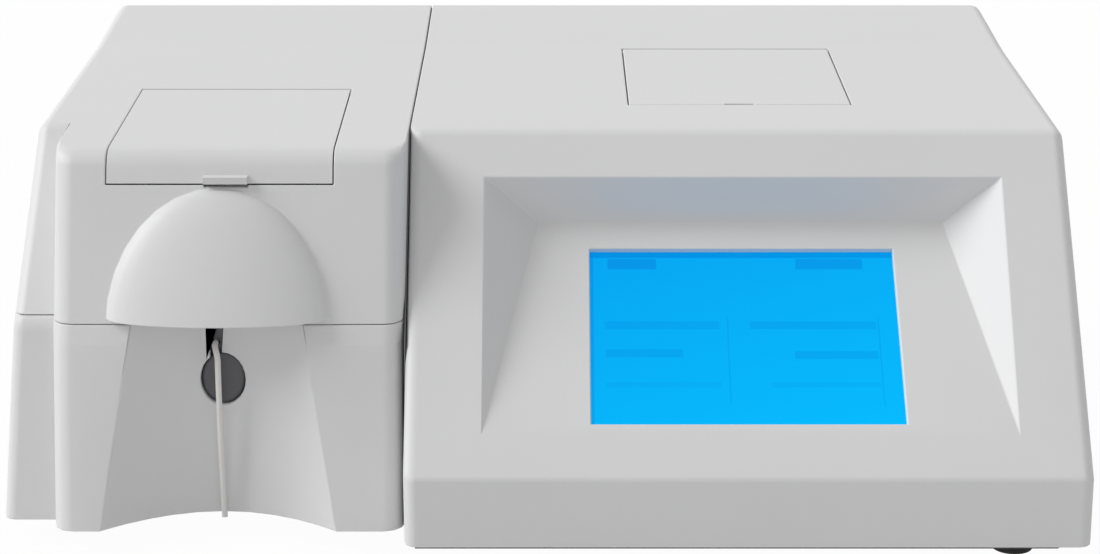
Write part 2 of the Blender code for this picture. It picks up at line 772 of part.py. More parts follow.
def recess_wedge(name, grow, face):
    """The screen recess as a wedge; grow thickens it into its own wall, face is where it starts."""
    slope = math.tan(RECESS_ANGLE)
    side_slope = RECESS_SIDE_IN / RECESS_DEEP
    low = RECESS_LOW - grow
    high = RECESS_HIGH + grow
    floor_high = RECESS_FLOOR_HIGH + grow
    floor_drop = grow / math.cos(RECESS_ANGLE)
    near = max(face, (low - RECESS_LOW) * slope + floor_drop)
    deep = (floor_high - RECESS_LOW) * slope + floor_drop
    left = RECESS_LEFT - grow
    right = RECESS_RIGHT + grow
    side = (deep - near) * side_slope
    top_loop = [panel_point(left, low, face), panel_point(right, low, face),
                panel_point(right, high, face), panel_point(left, high, face)]
    low_loop = [panel_point(left, low, near), panel_point(right, low, near),
                panel_point(right - side, floor_high, deep), panel_point(left + side, floor_high, deep)]
    return loft(name, [top_loop, low_loop])


def recess_cutter():
    """The recess itself, from above the panel down to its floor."""
    corners = [(RECESS_LEFT, RECESS_LOW), (RECESS_RIGHT, RECESS_LOW),
               (RECESS_RIGHT, RECESS_HIGH), (RECESS_LEFT, RECESS_HIGH)]
    build = bmesh.new()
    top = [build.verts.new(panel_point(x, s, -OVERRUN)) for x, s in corners]
    face = [build.verts.new(panel_point(x, s, 0)) for x, s in corners]
    floor_right = build.verts.new(panel_point(RECESS_RIGHT - RECESS_SIDE_IN, RECESS_FLOOR_HIGH, RECESS_DEEP))
    floor_left = build.verts.new(panel_point(RECESS_LEFT + RECESS_SIDE_IN, RECESS_FLOOR_HIGH, RECESS_DEEP))
    build.faces.new(top)
    for index in range(len(top)):
        follow = (index + 1) % len(top)
        build.faces.new((top[index], top[follow], face[follow], face[index]))
    build.faces.new((face[0], face[1], floor_right, floor_left))
    build.faces.new((face[1], face[2], floor_right))
    build.faces.new((face[2], face[3], floor_left, floor_right))
    build.faces.new((face[3], face[0], floor_left))
    return mesh_object("recess_cut", build, None)


def floor_point(x, f, d):
    """World point at f up the recess floor and d below it."""
    angle = PANEL_ANGLE + RECESS_ANGLE
    p = RECESS_LOW * math.sin(PANEL_ANGLE) + f * math.sin(angle) + d * math.cos(angle)
    h = LIP_HEIGHT + RECESS_LOW * math.cos(PANEL_ANGLE) + f * math.cos(angle) - d * math.sin(angle)
    return (x, *world(p, h))


def floor_box(name, x_range, f_range, d_range, finish=None):
    """A block laid against the recess floor."""
    loops = []
    for d in d_range:
        loops.append([floor_point(x_range[0], f_range[0], d), floor_point(x_range[1], f_range[0], d),
                      floor_point(x_range[1], f_range[1], d), floor_point(x_range[0], f_range[1], d)])
    return loft(name, loops, finish)


def wrap_plate(name, line, depth_range, x_range, finish=None):
    """A plate that follows a line of casing points, between two depths below it."""
    sides = []
    for depth in depth_range:
        side = []
        for index, here in enumerate(line):
            point = Vector(here)
            before = Vector(line[max(index - 1, 0)])
            after = Vector(line[min(index + 1, len(line) - 1)])
            first = (point - before).normalized() if index > 0 else (after - point).normalized()
            second = (after - point).normalized() if index < len(line) - 1 else first
            first_in = Vector((first.y, -first.x))
            second_in = Vector((second.y, -second.x))
            reach = depth / (1.0 + first_in.dot(second_in))
            side.append(tuple(point + (first_in + second_in) * reach))
        sides.append(side)
    return side_prism(name, sides[0] + list(reversed(sides[1])), x_range, finish)


def module_line(start_height, end_depth):
    """The module's outer line from its front face over its top edge to a depth on the top."""
    outline = rounded_outline(module_corners())
    first = 3 * (ARC_STEPS + 1)
    arc = outline[first:first + ARC_STEPS + 1]
    return [(module_face(start_height), start_height), *arc, (end_depth, top_height(end_depth))]


def cell_lid_opening(name, depth_range, grow):
    line = module_line(CELL_LID_FRONT_HEIGHT - grow, CELL_LID_AXIS_DEPTH + LID_PIN_SINK + grow)
    return wrap_plate(name, line, depth_range, (CELL_LID_LEFT - grow, CELL_LID_RIGHT + grow))


def make_right_housing(finishes):
    """Shell of the right part, with the screen recess and the printer opening."""
    shell = right_form("right_housing", 0.0)
    shell.data.materials.append(finishes["shell"])
    cut(shell, right_form("right_hollow", WALL))
    join(shell, recess_wedge("recess_wall", WALL, WALL / 2))
    lid_right = PRINTER_LID_LEFT + PRINTER_LID_WIDTH
    pin_height = top_height(PRINTER_LID_AXIS_DEPTH) - LID_PIN_SINK
    opening = casing_box("printer_opening", (PRINTER_LID_LEFT - EDGE_GAP, lid_right + EDGE_GAP),
                         (PRINTER_LID_FRONT - EDGE_GAP, PRINTER_LID_AXIS_DEPTH + LID_PIN_SINK + EDGE_GAP),
                         (pin_height - 2 * OVERRUN, pin_height + 2 * OVERRUN))
    seat = rod("printer_pin_seat", LID_PIN + GAP,
               (PRINTER_LID_LEFT - EDGE_GAP - LID_PIN_SEAT - GAP, *world(PRINTER_LID_AXIS_DEPTH, pin_height)),
               PRINTER_LID_WIDTH + 2 * (EDGE_GAP + LID_PIN_SEAT + GAP), "X", segments=SMALL_SEGMENTS)
    window = floor_box("window_cut", (WINDOW_LEFT, WINDOW_LEFT + WINDOW_WIDTH),
                       (WINDOW_LOW, WINDOW_LOW + WINDOW_LENGTH), (-OVERRUN, WALL + OVERRUN))
    cut(shell, recess_cutter(), window, opening, seat, pass_cut("right_pass"),
        rear_cut("right_rear", (SEAM_X - OVERRUN, RIGHT_END - REAR_RIM)), space_below("right_below", 0))
    return shell


def dome_mesh(name, half_width, rise, forward, backward, lowest):
    """An egg-shaped bulge that leans back with the module's face above the hood's seam."""
    lean = (MODULE_TOP_DEPTH - MODULE_TURN_DEPTH) / (top_height(MODULE_TOP_DEPTH) - MODULE_TURN_HEIGHT)
    build = bmesh.new()
    bmesh.ops.create_uvsphere(build, u_segments=DOME_SEGMENTS, v_segments=DOME_RINGS, radius=1.0)
    for vert in build.verts:
        reach = backward if vert.co.y > 0 else forward
        up = vert.co.z * rise
        vert.co = Vector((vert.co.x * half_width, vert.co.y * reach + up * lean, up))
    y, z = world(module_face(HOOD_SEAM_HEIGHT), HOOD_SEAM_HEIGHT)
    bmesh.ops.translate(build, vec=(DOME_X, y, z), verts=build.verts)
    geometry = build.verts[:] + build.edges[:] + build.faces[:]
    bmesh.ops.bisect_plane(build, geom=geometry, plane_co=(DOME_X, y, z + lowest), plane_no=(0, 0, 1),
                           clear_inner=True)
    rim = [edge for edge in build.edges if edge.is_boundary]
    bmesh.ops.holes_fill(build, edges=rim, sides=len(rim))
    return mesh_object(name, build, None)


def scoop_form(name, grow, top):
    """The shallow channel in the module's front, grown by a wall where grow is one."""
    loops = []
    for level in range(SCOOP_LEVELS + 1):
        h = -OVERRUN + (top + OVERRUN) * level / SCOOP_LEVELS
        share = scoop_share(h)
        half = SCOOP_FOOT_HALF + (SCOOP_SEAM_HALF - SCOOP_FOOT_HALF) * share + grow
        deep = scoop_depth(h)
        face = module_face(h)
        front = face - OVERRUN
        face += grow
        loop = [(DOME_X - half, *world(front, h)), (DOME_X + half, *world(front, h))]
        for index in range(SCOOP_SIDE_STEPS + 1):
            turn = math.pi * index / SCOOP_SIDE_STEPS
            bell = (1 - math.cos(2 * turn)) / 2
            x = DOME_X + half * math.cos(turn)
            loop.append((x, *world(face + deep * bell, h)))
        loops.append(loop)
    return loft(name, loops)


def make_hood(finishes):
    """Upper left shell with the dome and the opening of the flow-cell lid."""
    shell = left_form("hood", 0.0)
    shell.data.materials.append(finishes["shell"])
    cut(shell, left_form("hood_hollow", WALL))
    join(shell, dome_mesh("dome_outside", DOME_HALF_WIDTH, DOME_RISE, DOME_PROUD, DOME_PROUD, DOME_LIFT))
    cut(shell, dome_mesh("dome_inside", DOME_HALF_WIDTH - WALL, DOME_RISE - WALL, DOME_PROUD - WALL,
                         DOME_REACH, DOME_LIFT + WALL))
    face = module_face(HOOD_SEAM_HEIGHT)
    roof = casing_box("dome_roof", (DOME_X - SCOOP_SEAM_HALF, DOME_X + SCOOP_SEAM_HALF),
                      (face + ROOF_LAP, face + SCOOP_SEAM_DEEP + WALL),
                      (HOOD_SEAM_HEIGHT - ROOF_LAP, HOOD_SEAM_HEIGHT + WALL))
    join(shell, roof)
    pin_height = top_height(CELL_LID_AXIS_DEPTH) - LID_PIN_SINK
    lid_width = CELL_LID_RIGHT - CELL_LID_LEFT
    seat = rod("cell_pin_seat", LID_PIN + GAP,
               (CELL_LID_LEFT - EDGE_GAP - LID_PIN_SEAT - GAP, *world(CELL_LID_AXIS_DEPTH, pin_height)),
               lid_width + 2 * (EDGE_GAP + LID_PIN_SEAT + GAP), "X", segments=SMALL_SEGMENTS)
    notch = casing_box("finger_notch", (FINGER_X - FINGER_WIDTH / 2, FINGER_X + FINGER_WIDTH / 2),
                       (0, module_face(CELL_LID_FRONT_HEIGHT) + FINGER_NOTCH_DEEP),
                       (CELL_LID_FRONT_HEIGHT - FINGER_NOTCH_TALL, CELL_LID_FRONT_HEIGHT))
    cut(shell, cell_lid_opening("cell_opening", (-OVERRUN, WALL + OVERRUN / 2), EDGE_GAP), seat, notch,
        pass_cut("hood_pass"), rear_cut("hood_rear", (REAR_OPENING_LEFT, SEAM_X + OVERRUN)),
        space_below("hood_below", HOOD_SEAM_HEIGHT + GAP / 2))
    return shell


def slot_block(name, grow, p_range, h_range, finish=None):
    """Block in the slot above the button, which narrows towards the button."""
    key_top = BUTTON_HEIGHT + KEY_TALL / 2
    loops = []
    for p in p_range:
        corners = []
        for h, side in ((h_range[0], -1), (h_range[0], 1), (h_range[1], 1), (h_range[1], -1)):
            wide = SLOT_LOW_WIDTH + (SLOT_TOP_WIDTH - SLOT_LOW_WIDTH) * (h - key_top) / (SLOT_TOP - key_top)
            corners.append((SLOT_X + side * (wide / 2 + grow), *world(p, h)))
        loops.append(corners)
    return loft(name, loops, finish)


def keyhole(name, grow, p_range):
    """Oval with a slot above it, cut along Y."""
    outline = []
    for index in range(ROUND_SEGMENTS):
        angle = 2 * math.pi * index / ROUND_SEGMENTS
        outline.append(((KEY_WIDTH / 2 + grow) * math.sin(angle), (KEY_TALL / 2 + grow) * math.cos(angle)))
    loops = []
    for p in p_range:
        y, z = world(p, BUTTON_HEIGHT)
        loops.append([(BUTTON_X + x, y, z + rise) for x, rise in outline])
    oval = loft(name, loops)
    slot = slot_block(name + "_slot", grow, p_range, (BUTTON_HEIGHT, SLOT_TOP + grow))
    return oval, slot


def scoop_face(h):
    """Depth of the scoop's middle line at height h."""
    return module_face(h) + scoop_depth(h)


def flange_front():
    """Depth of the button's flange, which is trapped behind the wall."""
    return scoop_face(BUTTON_HEIGHT + KEY_TALL / 2 + BUTTON_FLANGE_LAP) + WALL + BUTTON_FLANGE_PLAY


def switch_front():
    return flange_front() + BUTTON_FLANGE + SPRING_LENGTH + 2 * GAP


def make_lower_housing(finishes):
    """Lower left shell: wing, module front with the scoop, and the posts of the button's switch."""
    shell = left_form("lower_left_housing", 0.0)
    shell.data.materials.append(finishes["shell"])
    hollow = left_form("lower_hollow", WALL)
    cut(hollow, scoop_form("scoop_wall", WALL, HOOD_SEAM_HEIGHT + WALL))
    cut(shell, hollow)
    posts = []
    rear = switch_front() + SWITCH_DEEP - GAP
    for side in (-1, 1):
        x = BUTTON_X + side * (BRACKET_WIDTH - BRACKET_POST) / 2
        posts.append(casing_box("switch_post_%d" % (side + 2), (x - BRACKET_POST / 2, x + BRACKET_POST / 2),
                                (module_face(BUTTON_HEIGHT) + scoop_depth(BUTTON_HEIGHT) / 2, rear),
                                (BUTTON_HEIGHT - BRACKET_TALL / 2, BUTTON_HEIGHT + BRACKET_TALL / 2)))
    join(shell, *posts)
    oval, slot = keyhole("button_hole", GAP, (0, guide_front() + WALL + OVERRUN))
    cut(shell, scoop_form("scoop", 0.0, HOOD_SEAM_HEIGHT), oval, slot,
        pass_cut("lower_pass"), rear_cut("lower_rear", (REAR_OPENING_LEFT, SEAM_X + OVERRUN)),
        space_above("lower_above", HOOD_SEAM_HEIGHT - GAP / 2), space_below("lower_below", 0))
    return shell


def lid_plate(name, plate, x_range, axis_depth, finishes):
    """Give a lid's plate its hinge barrel and the barrel's bore."""
    y, z = world(axis_depth, top_height(axis_depth) - LID_PIN_SINK)
    plate.data.materials.append(finishes["shell"])
    barrel = rod(name + "_barrel", LID_PIN_SINK, (x_range[0], y, z), x_range[1] - x_range[0], "X",
                 segments=SMALL_SEGMENTS)
    bore = rod(name + "_bore", LID_PIN + GAP, (x_range[0] - OVERRUN, y, z),
               x_range[1] - x_range[0] + 2 * OVERRUN, "X", segments=SMALL_SEGMENTS)
    join(plate, barrel)
    set_origin(plate, (x_range[0] + x_range[1]) / 2, y, z)
    return plate, bore


def make_lid_pin(name, x_range, axis_depth, finishes):
    reach = EDGE_GAP + LID_PIN_SEAT
    y, z = world(axis_depth, top_height(axis_depth) - LID_PIN_SINK)
    return rod(name, LID_PIN, (x_range[0] - reach, y, z), x_range[1] - x_range[0] + 2 * reach, "X",
               finishes["steel"], SMALL_SEGMENTS)


def bay_outline(p_range, bottom_left, bottom_right):
    """Side outline of a frame that lies under the top plane."""
    return [(p_range[0], bottom_left), (p_range[1], bottom_right),
            (p_range[1], top_height(p_range[1]) - BAY_FRAME_SINK),
            (p_range[0], top_height(p_range[0]) - BAY_FRAME_SINK)]


def make_cell_bay(finishes):
    """Flow-cell lid, its pin and the frame that the lid closes on."""
    x_range = (CELL_LID_LEFT, CELL_LID_RIGHT)
    line = module_line(CELL_LID_FRONT_HEIGHT, CELL_LID_AXIS_DEPTH)
    lid, bore = lid_plate("cell_lid", wrap_plate("cell_lid", line, (0, WALL), x_range), x_range,
                          CELL_LID_AXIS_DEPTH, finishes)
    face = module_face(CELL_LID_FRONT_HEIGHT)
    join(lid, casing_box("finger_lip", (FINGER_X - FINGER_WIDTH / 2, FINGER_X + FINGER_WIDTH / 2),
                         (face - FINGER_PROUD, face + WALL / 2),
                         (CELL_LID_FRONT_HEIGHT + GAP, CELL_LID_FRONT_HEIGHT + FINGER_TALL)))
    cut(lid, bore)
    make_lid_pin("cell_lid_pin", x_range, CELL_LID_AXIS_DEPTH, finishes)
    rear = CELL_LID_AXIS_DEPTH + LID_PIN_SINK + EDGE_GAP + BAY_FRAME_LAP
    p_range = (BAY_FRAME_FRONT, rear)
    low = top_height(BAY_FRAME_FRONT) - BAY_FRAME_SINK - BAY_FRAME_TALL
    frame = side_prism("cell_bay_frame", bay_outline(p_range, low, low),
                       (CELL_LID_LEFT - BAY_FRAME_LAP, CELL_LID_RIGHT + BAY_FRAME_LAP), finishes["dark"])
    cut(frame, casing_box("cell_bay_hole",
                          (CELL_LID_LEFT + BAY_FRAME_LEDGE, CELL_LID_RIGHT - BAY_FRAME_LEDGE),
                          (BAY_FRAME_FRONT + BAY_FRAME_LEDGE, rear - 2 * BAY_FRAME_LEDGE),
                          (low - OVERRUN, low + 2 * BAY_FRAME_TALL)))


def gear(name, teeth, axis_p, axis_h, x_range, bore, first_angle, finish):
    """A spur gear with straight-sided teeth."""
    pitch = teeth * GEAR_MODULE / 2
    root = pitch - GEAR_DEDENDUM
    tip = pitch + GEAR_ADDENDUM
    step = 2 * math.pi / teeth
    outline = []
    for tooth in range(teeth):
        middle = first_angle + tooth * step
        for share, radius in ((-TOOTH_ROOT_SHARE, root), (-TOOTH_TIP_SHARE, tip),
                              (TOOTH_TIP_SHARE, tip), (TOOTH_ROOT_SHARE, root)):
            angle = middle + share * step
            outline.append((axis_p + radius * math.cos(angle), axis_h + radius * math.sin(angle)))
    wheel = side_prism(name, outline, x_range, finish)
    cut(wheel, rod(name + "_bore", bore, (x_range[0] - OVERRUN, *world(axis_p, axis_h)),
                   x_range[1] - x_range[0] + 2 * OVERRUN, "X", segments=SMALL_SEGMENTS))
    set_origin(wheel, x_range[0], *world(axis_p, axis_h))


def make_printer(finishes):
    """Printer lid, the printer's tub and the paper drive inside it."""
    lid_right = PRINTER_LID_LEFT + PRINTER_LID_WIDTH
    x_range = (PRINTER_LID_LEFT, lid_right)
    line = [(PRINTER_LID_FRONT, top_height(PRINTER_LID_FRONT)),
            (PRINTER_LID_AXIS_DEPTH, top_height(PRINTER_LID_AXIS_DEPTH))]
    lid, bore = lid_plate("printer_lid", wrap_plate("printer_lid", line, (0, WALL), x_range), x_range,
                          PRINTER_LID_AXIS_DEPTH, finishes)
    middle = (PRINTER_LID_LEFT + lid_right) / 2
    height = top_height(PRINTER_LID_FRONT)
    cut(lid, bore, casing_box("printer_lid_notch",
                              (middle - PRINTER_NOTCH_WIDTH / 2, middle + PRINTER_NOTCH_WIDTH / 2),
                              (PRINTER_LID_FRONT - OVERRUN, PRINTER_LID_FRONT + PRINTER_NOTCH_DEEP),
                              (height - WALL / 2, height + OVERRUN)))
    make_lid_pin("printer_lid_pin", x_range, PRINTER_LID_AXIS_DEPTH, finishes)

    front = PRINTER_LID_FRONT - BAY_FRAME_LAP
    rear = PRINTER_LID_AXIS_DEPTH + LID_PIN_SINK + EDGE_GAP + BAY_FRAME_LAP
    tub = side_prism("printer_tub", bay_outline((front, rear), TUB_BOTTOM, TUB_BOTTOM),
                     (PRINTER_LID_LEFT - BAY_FRAME_LAP, lid_right + BAY_FRAME_LAP), finishes["dark"])
    inner_left = PRINTER_LID_LEFT + BAY_FRAME_LEDGE
    inner_right = lid_right - BAY_FRAME_LEDGE
    floor = TUB_BOTTOM + TUB_FLOOR
    cut(tub, casing_box("tub_hollow", (inner_left, inner_right),
                        (PRINTER_LID_FRONT + BAY_FRAME_LEDGE, rear - 2 * BAY_FRAME_LEDGE),
                        (floor, top_height(rear) + OVERRUN)))
    axis_gap = (PLATEN_TEETH + PINION_TEETH) * GEAR_MODULE / 2 + GEAR_SHIFT
    motor_height = PLATEN_HEIGHT - axis_gap
    gear_left = inner_right - 2 * GEAR_WIDTH
    motor_right = gear_left - GAP
    cradle = casing_box("motor_cradle", (motor_right - MOTOR_LENGTH + GAP, motor_right - GAP),
                        (PLATEN_DEPTH - MOTOR_CRADLE, PLATEN_DEPTH + MOTOR_CRADLE),
                        (floor - TUB_FLOOR / 2, motor_height - MOTOR_RADIUS - GAP))
    join(tub, cradle)

    span = inner_right - inner_left - 2 * GAP
    rod("paper_spindle", SPINDLE_RADIUS, (inner_left + GAP, *world(PAPER_DEPTH, PAPER_HEIGHT)), span, "X",
        finishes["dark"])
    roll = ring("paper_roll", PAPER_RADIUS, PAPER_CORE, (PAPER_LEFT, *world(PAPER_DEPTH, PAPER_HEIGHT)),
                PAPER_WIDTH, "X", finishes["paper"])
    set_origin(roll, PAPER_LEFT, *world(PAPER_DEPTH, PAPER_HEIGHT))
    head_front = PLATEN_DEPTH + PLATEN_RADIUS + GAP
    casing_box("print_head", (inner_left + GAP, gear_left - 2 * GEAR_WIDTH),
               (head_front, head_front + HEAD_THICK),
               (PLATEN_HEIGHT - HEAD_TALL, PLATEN_HEIGHT + HEAD_TALL / 2), finishes["alloy"])
    side = PAPER_LEFT - inner_left
    roller_end = side + PAPER_WIDTH
    roller = turned("platen_roller", [(0, 0), (PLATEN_AXLE, 0), (PLATEN_AXLE, side), (PLATEN_RADIUS, side),
                                      (PLATEN_RADIUS, roller_end), (PLATEN_AXLE, roller_end),
                                      (PLATEN_AXLE, span), (0, span)],
                    (inner_left + GAP, *world(PLATEN_DEPTH, PLATEN_HEIGHT)), "X", finishes["rubber"])
    set_origin(roller, PAPER_LEFT, *world(PLATEN_DEPTH, PLATEN_HEIGHT))
    gear("platen_gear", PLATEN_TEETH, PLATEN_DEPTH, PLATEN_HEIGHT, (gear_left, gear_left + GEAR_WIDTH),
         PLATEN_AXLE + GAP, -math.pi / 2, finishes["dark"])
    gear("motor_pinion", PINION_TEETH, PLATEN_DEPTH, motor_height, (gear_left, gear_left + GEAR_WIDTH),
         PLATEN_AXLE / 2 + GAP, math.pi / 2 + math.pi / PINION_TEETH, finishes["dark"])
    turned("printer_motor", [(0, 0), (MOTOR_RADIUS, 0), (MOTOR_RADIUS, MOTOR_LENGTH),
                             (PLATEN_AXLE / 2, MOTOR_LENGTH), (PLATEN_AXLE / 2, MOTOR_LENGTH + GEAR_WIDTH),
                             (0, MOTOR_LENGTH + GEAR_WIDTH)],
           (motor_right - MOTOR_LENGTH, *world(PLATEN_DEPTH, motor_height)), "X", finishes["steel"])


def make_screen(finishes):
    """Touch glass, display and its board, stacked behind the recess floor."""
    window_right = WINDOW_LEFT + WINDOW_WIDTH
    f_range = (WINDOW_LOW - GLASS_LAP, WINDOW_LOW + WINDOW_LENGTH + GLASS_LAP)
    glass = WALL + GAP
    floor_box("touch_glass", (WINDOW_LEFT - GLASS_SIDE_LAP, window_right + GLASS_SIDE_LAP), f_range,
              (glass, glass + GLASS_THICK), finishes["glass"])
    display = glass + GLASS_THICK + GAP
    side = (WINDOW_LEFT - LCD_SIDE_LAP, window_right + LCD_SIDE_LAP)
    floor_box("display_module", side, f_range, (display, display + LCD_THICK), finishes["alloy"])
    board = display + LCD_THICK + GAP
    plate = floor_box("display_board", side, f_range, (board, board + BOARD_THICK), finishes["board"])
    middle = WINDOW_LEFT + WINDOW_WIDTH / 2
    for side_step in (-1, 1):
        left = middle + side_step * WINDOW_WIDTH / 4 - DISPLAY_CHIP_SIZE / 2
        low = WINDOW_LOW + WINDOW_LENGTH / 2 - DISPLAY_CHIP_SIZE / 2
        join(plate, floor_box("display_chip_%d" % (side_step + 2), (left, left + DISPLAY_CHIP_SIZE),
                              (low, low + DISPLAY_CHIP_SIZE),
                              (board + BOARD_THICK / 2, board + BOARD_THICK + DISPLAY_CHIP_TALL)))


def oval_loop(p_of_height, grow):
    """Oval of the button, each point at its own depth."""
    loop = []
    for index in range(ROUND_SEGMENTS):
        angle = 2 * math.pi * index / ROUND_SEGMENTS
        x = BUTTON_X + (KEY_WIDTH / 2 + grow) * math.sin(angle)
        h = BUTTON_HEIGHT + (KEY_TALL / 2 + grow) * math.cos(angle)
        loop.append((x, *world(p_of_height(h), h)))
    return loop


def tube_curve(name, points, radius, finish, resolution=2):
    """A round tube along a route of world points."""
    curve = bpy.data.curves.new(name, "CURVE")
    curve.dimensions = "3D"
    curve.bevel_depth = radius
    curve.bevel_resolution = resolution
    curve.use_fill_caps = True
    curve.render_resolution_u = 0
    spline = curve.splines.new("POLY")
    spline.points.add(len(points) - 1)
    for point, place in zip(spline.points, points):
        point.co = (*place, 1.0)
    return add_object(name, curve, finish)


def smooth_route(points, per_span):
    """Points along a smooth curve through a route's own points."""
    places = [Vector(point) for point in points]
    ends = [2 * places[0] - places[1], *places, 2 * places[-1] - places[-2]]
    route = []
    for index in range(1, len(ends) - 2):
        before, here, after, beyond = ends[index - 1:index + 3]
        for step in range(per_span):
            t = step / per_span
            route.append(0.5 * (2 * here + (after - before) * t
                                + (2 * before - 5 * here + 4 * after - beyond) * t ** 2
                                + (3 * here - before - 3 * after + beyond) * t ** 3))
    route.append(places[-1])
    return route


def guide_front():
    return scoop_face(SLOT_TOP)


def guide_low():
    return BUTTON_HEIGHT + KEY_TALL / 2 + BUTTON_FLANGE_LAP + GAP


def guide_height():
    return guide_low() + GUIDE_LIP + GUIDE_BORE


def sipper_points():
    """Route of the sipper tube: out of the guide, over a bend and down, leaning a little forward."""
    start = guide_front() - 2 * GAP
    height = guide_height()
    route = [(SLOT_X, *world(start, height))]
    for index in range(SIPPER_BEND_POINTS + 1):
        share = index / SIPPER_BEND_POINTS
        angle = (math.pi / 2 - SIPPER_LEAN) * share
        p = start - SIPPER_STRAIGHT - SIPPER_BEND * math.sin(angle)
        h = height - SIPPER_BEND * (1 - math.cos(angle))
        route.append((SLOT_X + SIPPER_SIDE * share * share * (3 - 2 * share), *world(p, h)))
    drop = h - SIPPER_END_HEIGHT
    for index in range(1, SIPPER_DROP_POINTS + 1):
        share = index / SIPPER_DROP_POINTS
        route.append((SLOT_X + SIPPER_SIDE + SIPPER_DRIFT * share * share,
                      *world(p - drop * share * math.tan(SIPPER_LEAN), h - drop * share)))
    return route


def make_button(finishes):
    """Sipper button, its spring, switch and bracket, and the tube's guide."""
    front = flange_front()
    flange_rear = front + BUTTON_FLANGE
    loops = [oval_loop(lambda h: scoop_face(h) + BUTTON_SUNK, -BUTTON_FLANGE_LAP),
             oval_loop(lambda h: scoop_face(h) + 2 * BUTTON_SUNK, 0.0),
             oval_loop(lambda h: front, 0.0), oval_loop(lambda h: front, BUTTON_FLANGE_LAP),
             oval_loop(lambda h: flange_rear, BUTTON_FLANGE_LAP)]
    button = loft("sipper_button", loops, finishes["button"], smooth_angle=SMOOTH_ANGLE)
    stem_length = SPRING_LENGTH + GAP - BUTTON_TRAVEL
    join(button, rod("button_stem", BUTTON_STEM,
                     (BUTTON_X, *world(flange_rear - BUTTON_FLANGE / 2, BUTTON_HEIGHT)),
                     stem_length + BUTTON_FLANGE / 2, "Y", segments=SMALL_SEGMENTS))
    set_origin(button, BUTTON_X, *world(front, BUTTON_HEIGHT))
    points = []
    count = SPRING_TURNS * SPRING_TURN_POINTS
    reach = SPRING_LENGTH - 2 * SPRING_WIRE
    for index in range(count + 1):
        angle = 2 * math.pi * index / SPRING_TURN_POINTS
        y, z = world(flange_rear + GAP + SPRING_WIRE + reach * index / count, BUTTON_HEIGHT)
        points.append((BUTTON_X + SPRING_RADIUS * math.cos(angle), y, z + SPRING_RADIUS * math.sin(angle)))
    tube_curve("button_spring", points, SPRING_WIRE, finishes["steel"], 1)
    switch = switch_front()
    plate = switch + SWITCH_DEEP
    body = casing_box("button_switch", (BUTTON_X - SWITCH_SIZE / 2, BUTTON_X + SWITCH_SIZE / 2),
                      (switch, plate + BRACKET_THICK / 2),
                      (BUTTON_HEIGHT - SWITCH_SIZE / 2, BUTTON_HEIGHT + SWITCH_SIZE / 2), finishes["dark"])
    join(body, casing_box("switch_bracket", (BUTTON_X - BRACKET_WIDTH / 2, BUTTON_X + BRACKET_WIDTH / 2),
                          (plate, plate + BRACKET_THICK),
                          (BUTTON_HEIGHT - BRACKET_TALL / 2, BUTTON_HEIGHT + BRACKET_TALL / 2)))
    guide = slot_block("tube_guide", 0.0, (guide_front(), guide_front() + WALL), (guide_low(), SLOT_TOP),
                       finishes["button"])
    cut(guide, rod("guide_bore", GUIDE_BORE, (SLOT_X, *world(guide_front() - OVERRUN, guide_height())),
                   WALL + 2 * OVERRUN, "Y", segments=SMALL_SEGMENTS))
    tube_curve("sipper_tube", sipper_points(), SIPPER_RADIUS, finishes["tube"])
    block_right = OPTIC_X + CELL_BLOCK_SIZE / 2
    start = guide_front() + WALL + GAP
    clear = OPTIC_X + DETECTOR_WIDTH / 2 + CUVETTE_FLOOR
    cell_entry = CELL_BLOCK_FRONT + CELL_BLOCK_SIZE / 2
    entry_height = OPTIC_HEIGHT - CUVETTE_FLOOR
    route = smooth_route([
        (SLOT_X, *world(start, guide_height())),
        (SLOT_X, *world(start + FEED_RUN, guide_height())),
        (clear - CUVETTE_FLOOR, *world(switch + BRACKET_POST, guide_height())),
        (clear, *world(DETECTOR_DEPTH, entry_height)),
        (clear, *world(CELL_BLOCK_FRONT, entry_height)),
        (clear - SIPPER_STRAIGHT, *world(cell_entry - SIPPER_STRAIGHT, entry_height)),
        (block_right + GAP, *world(cell_entry, entry_height)),
    ], 5)
    tube_curve("feed_tube", route, SIPPER_RADIUS, finishes["tube"])


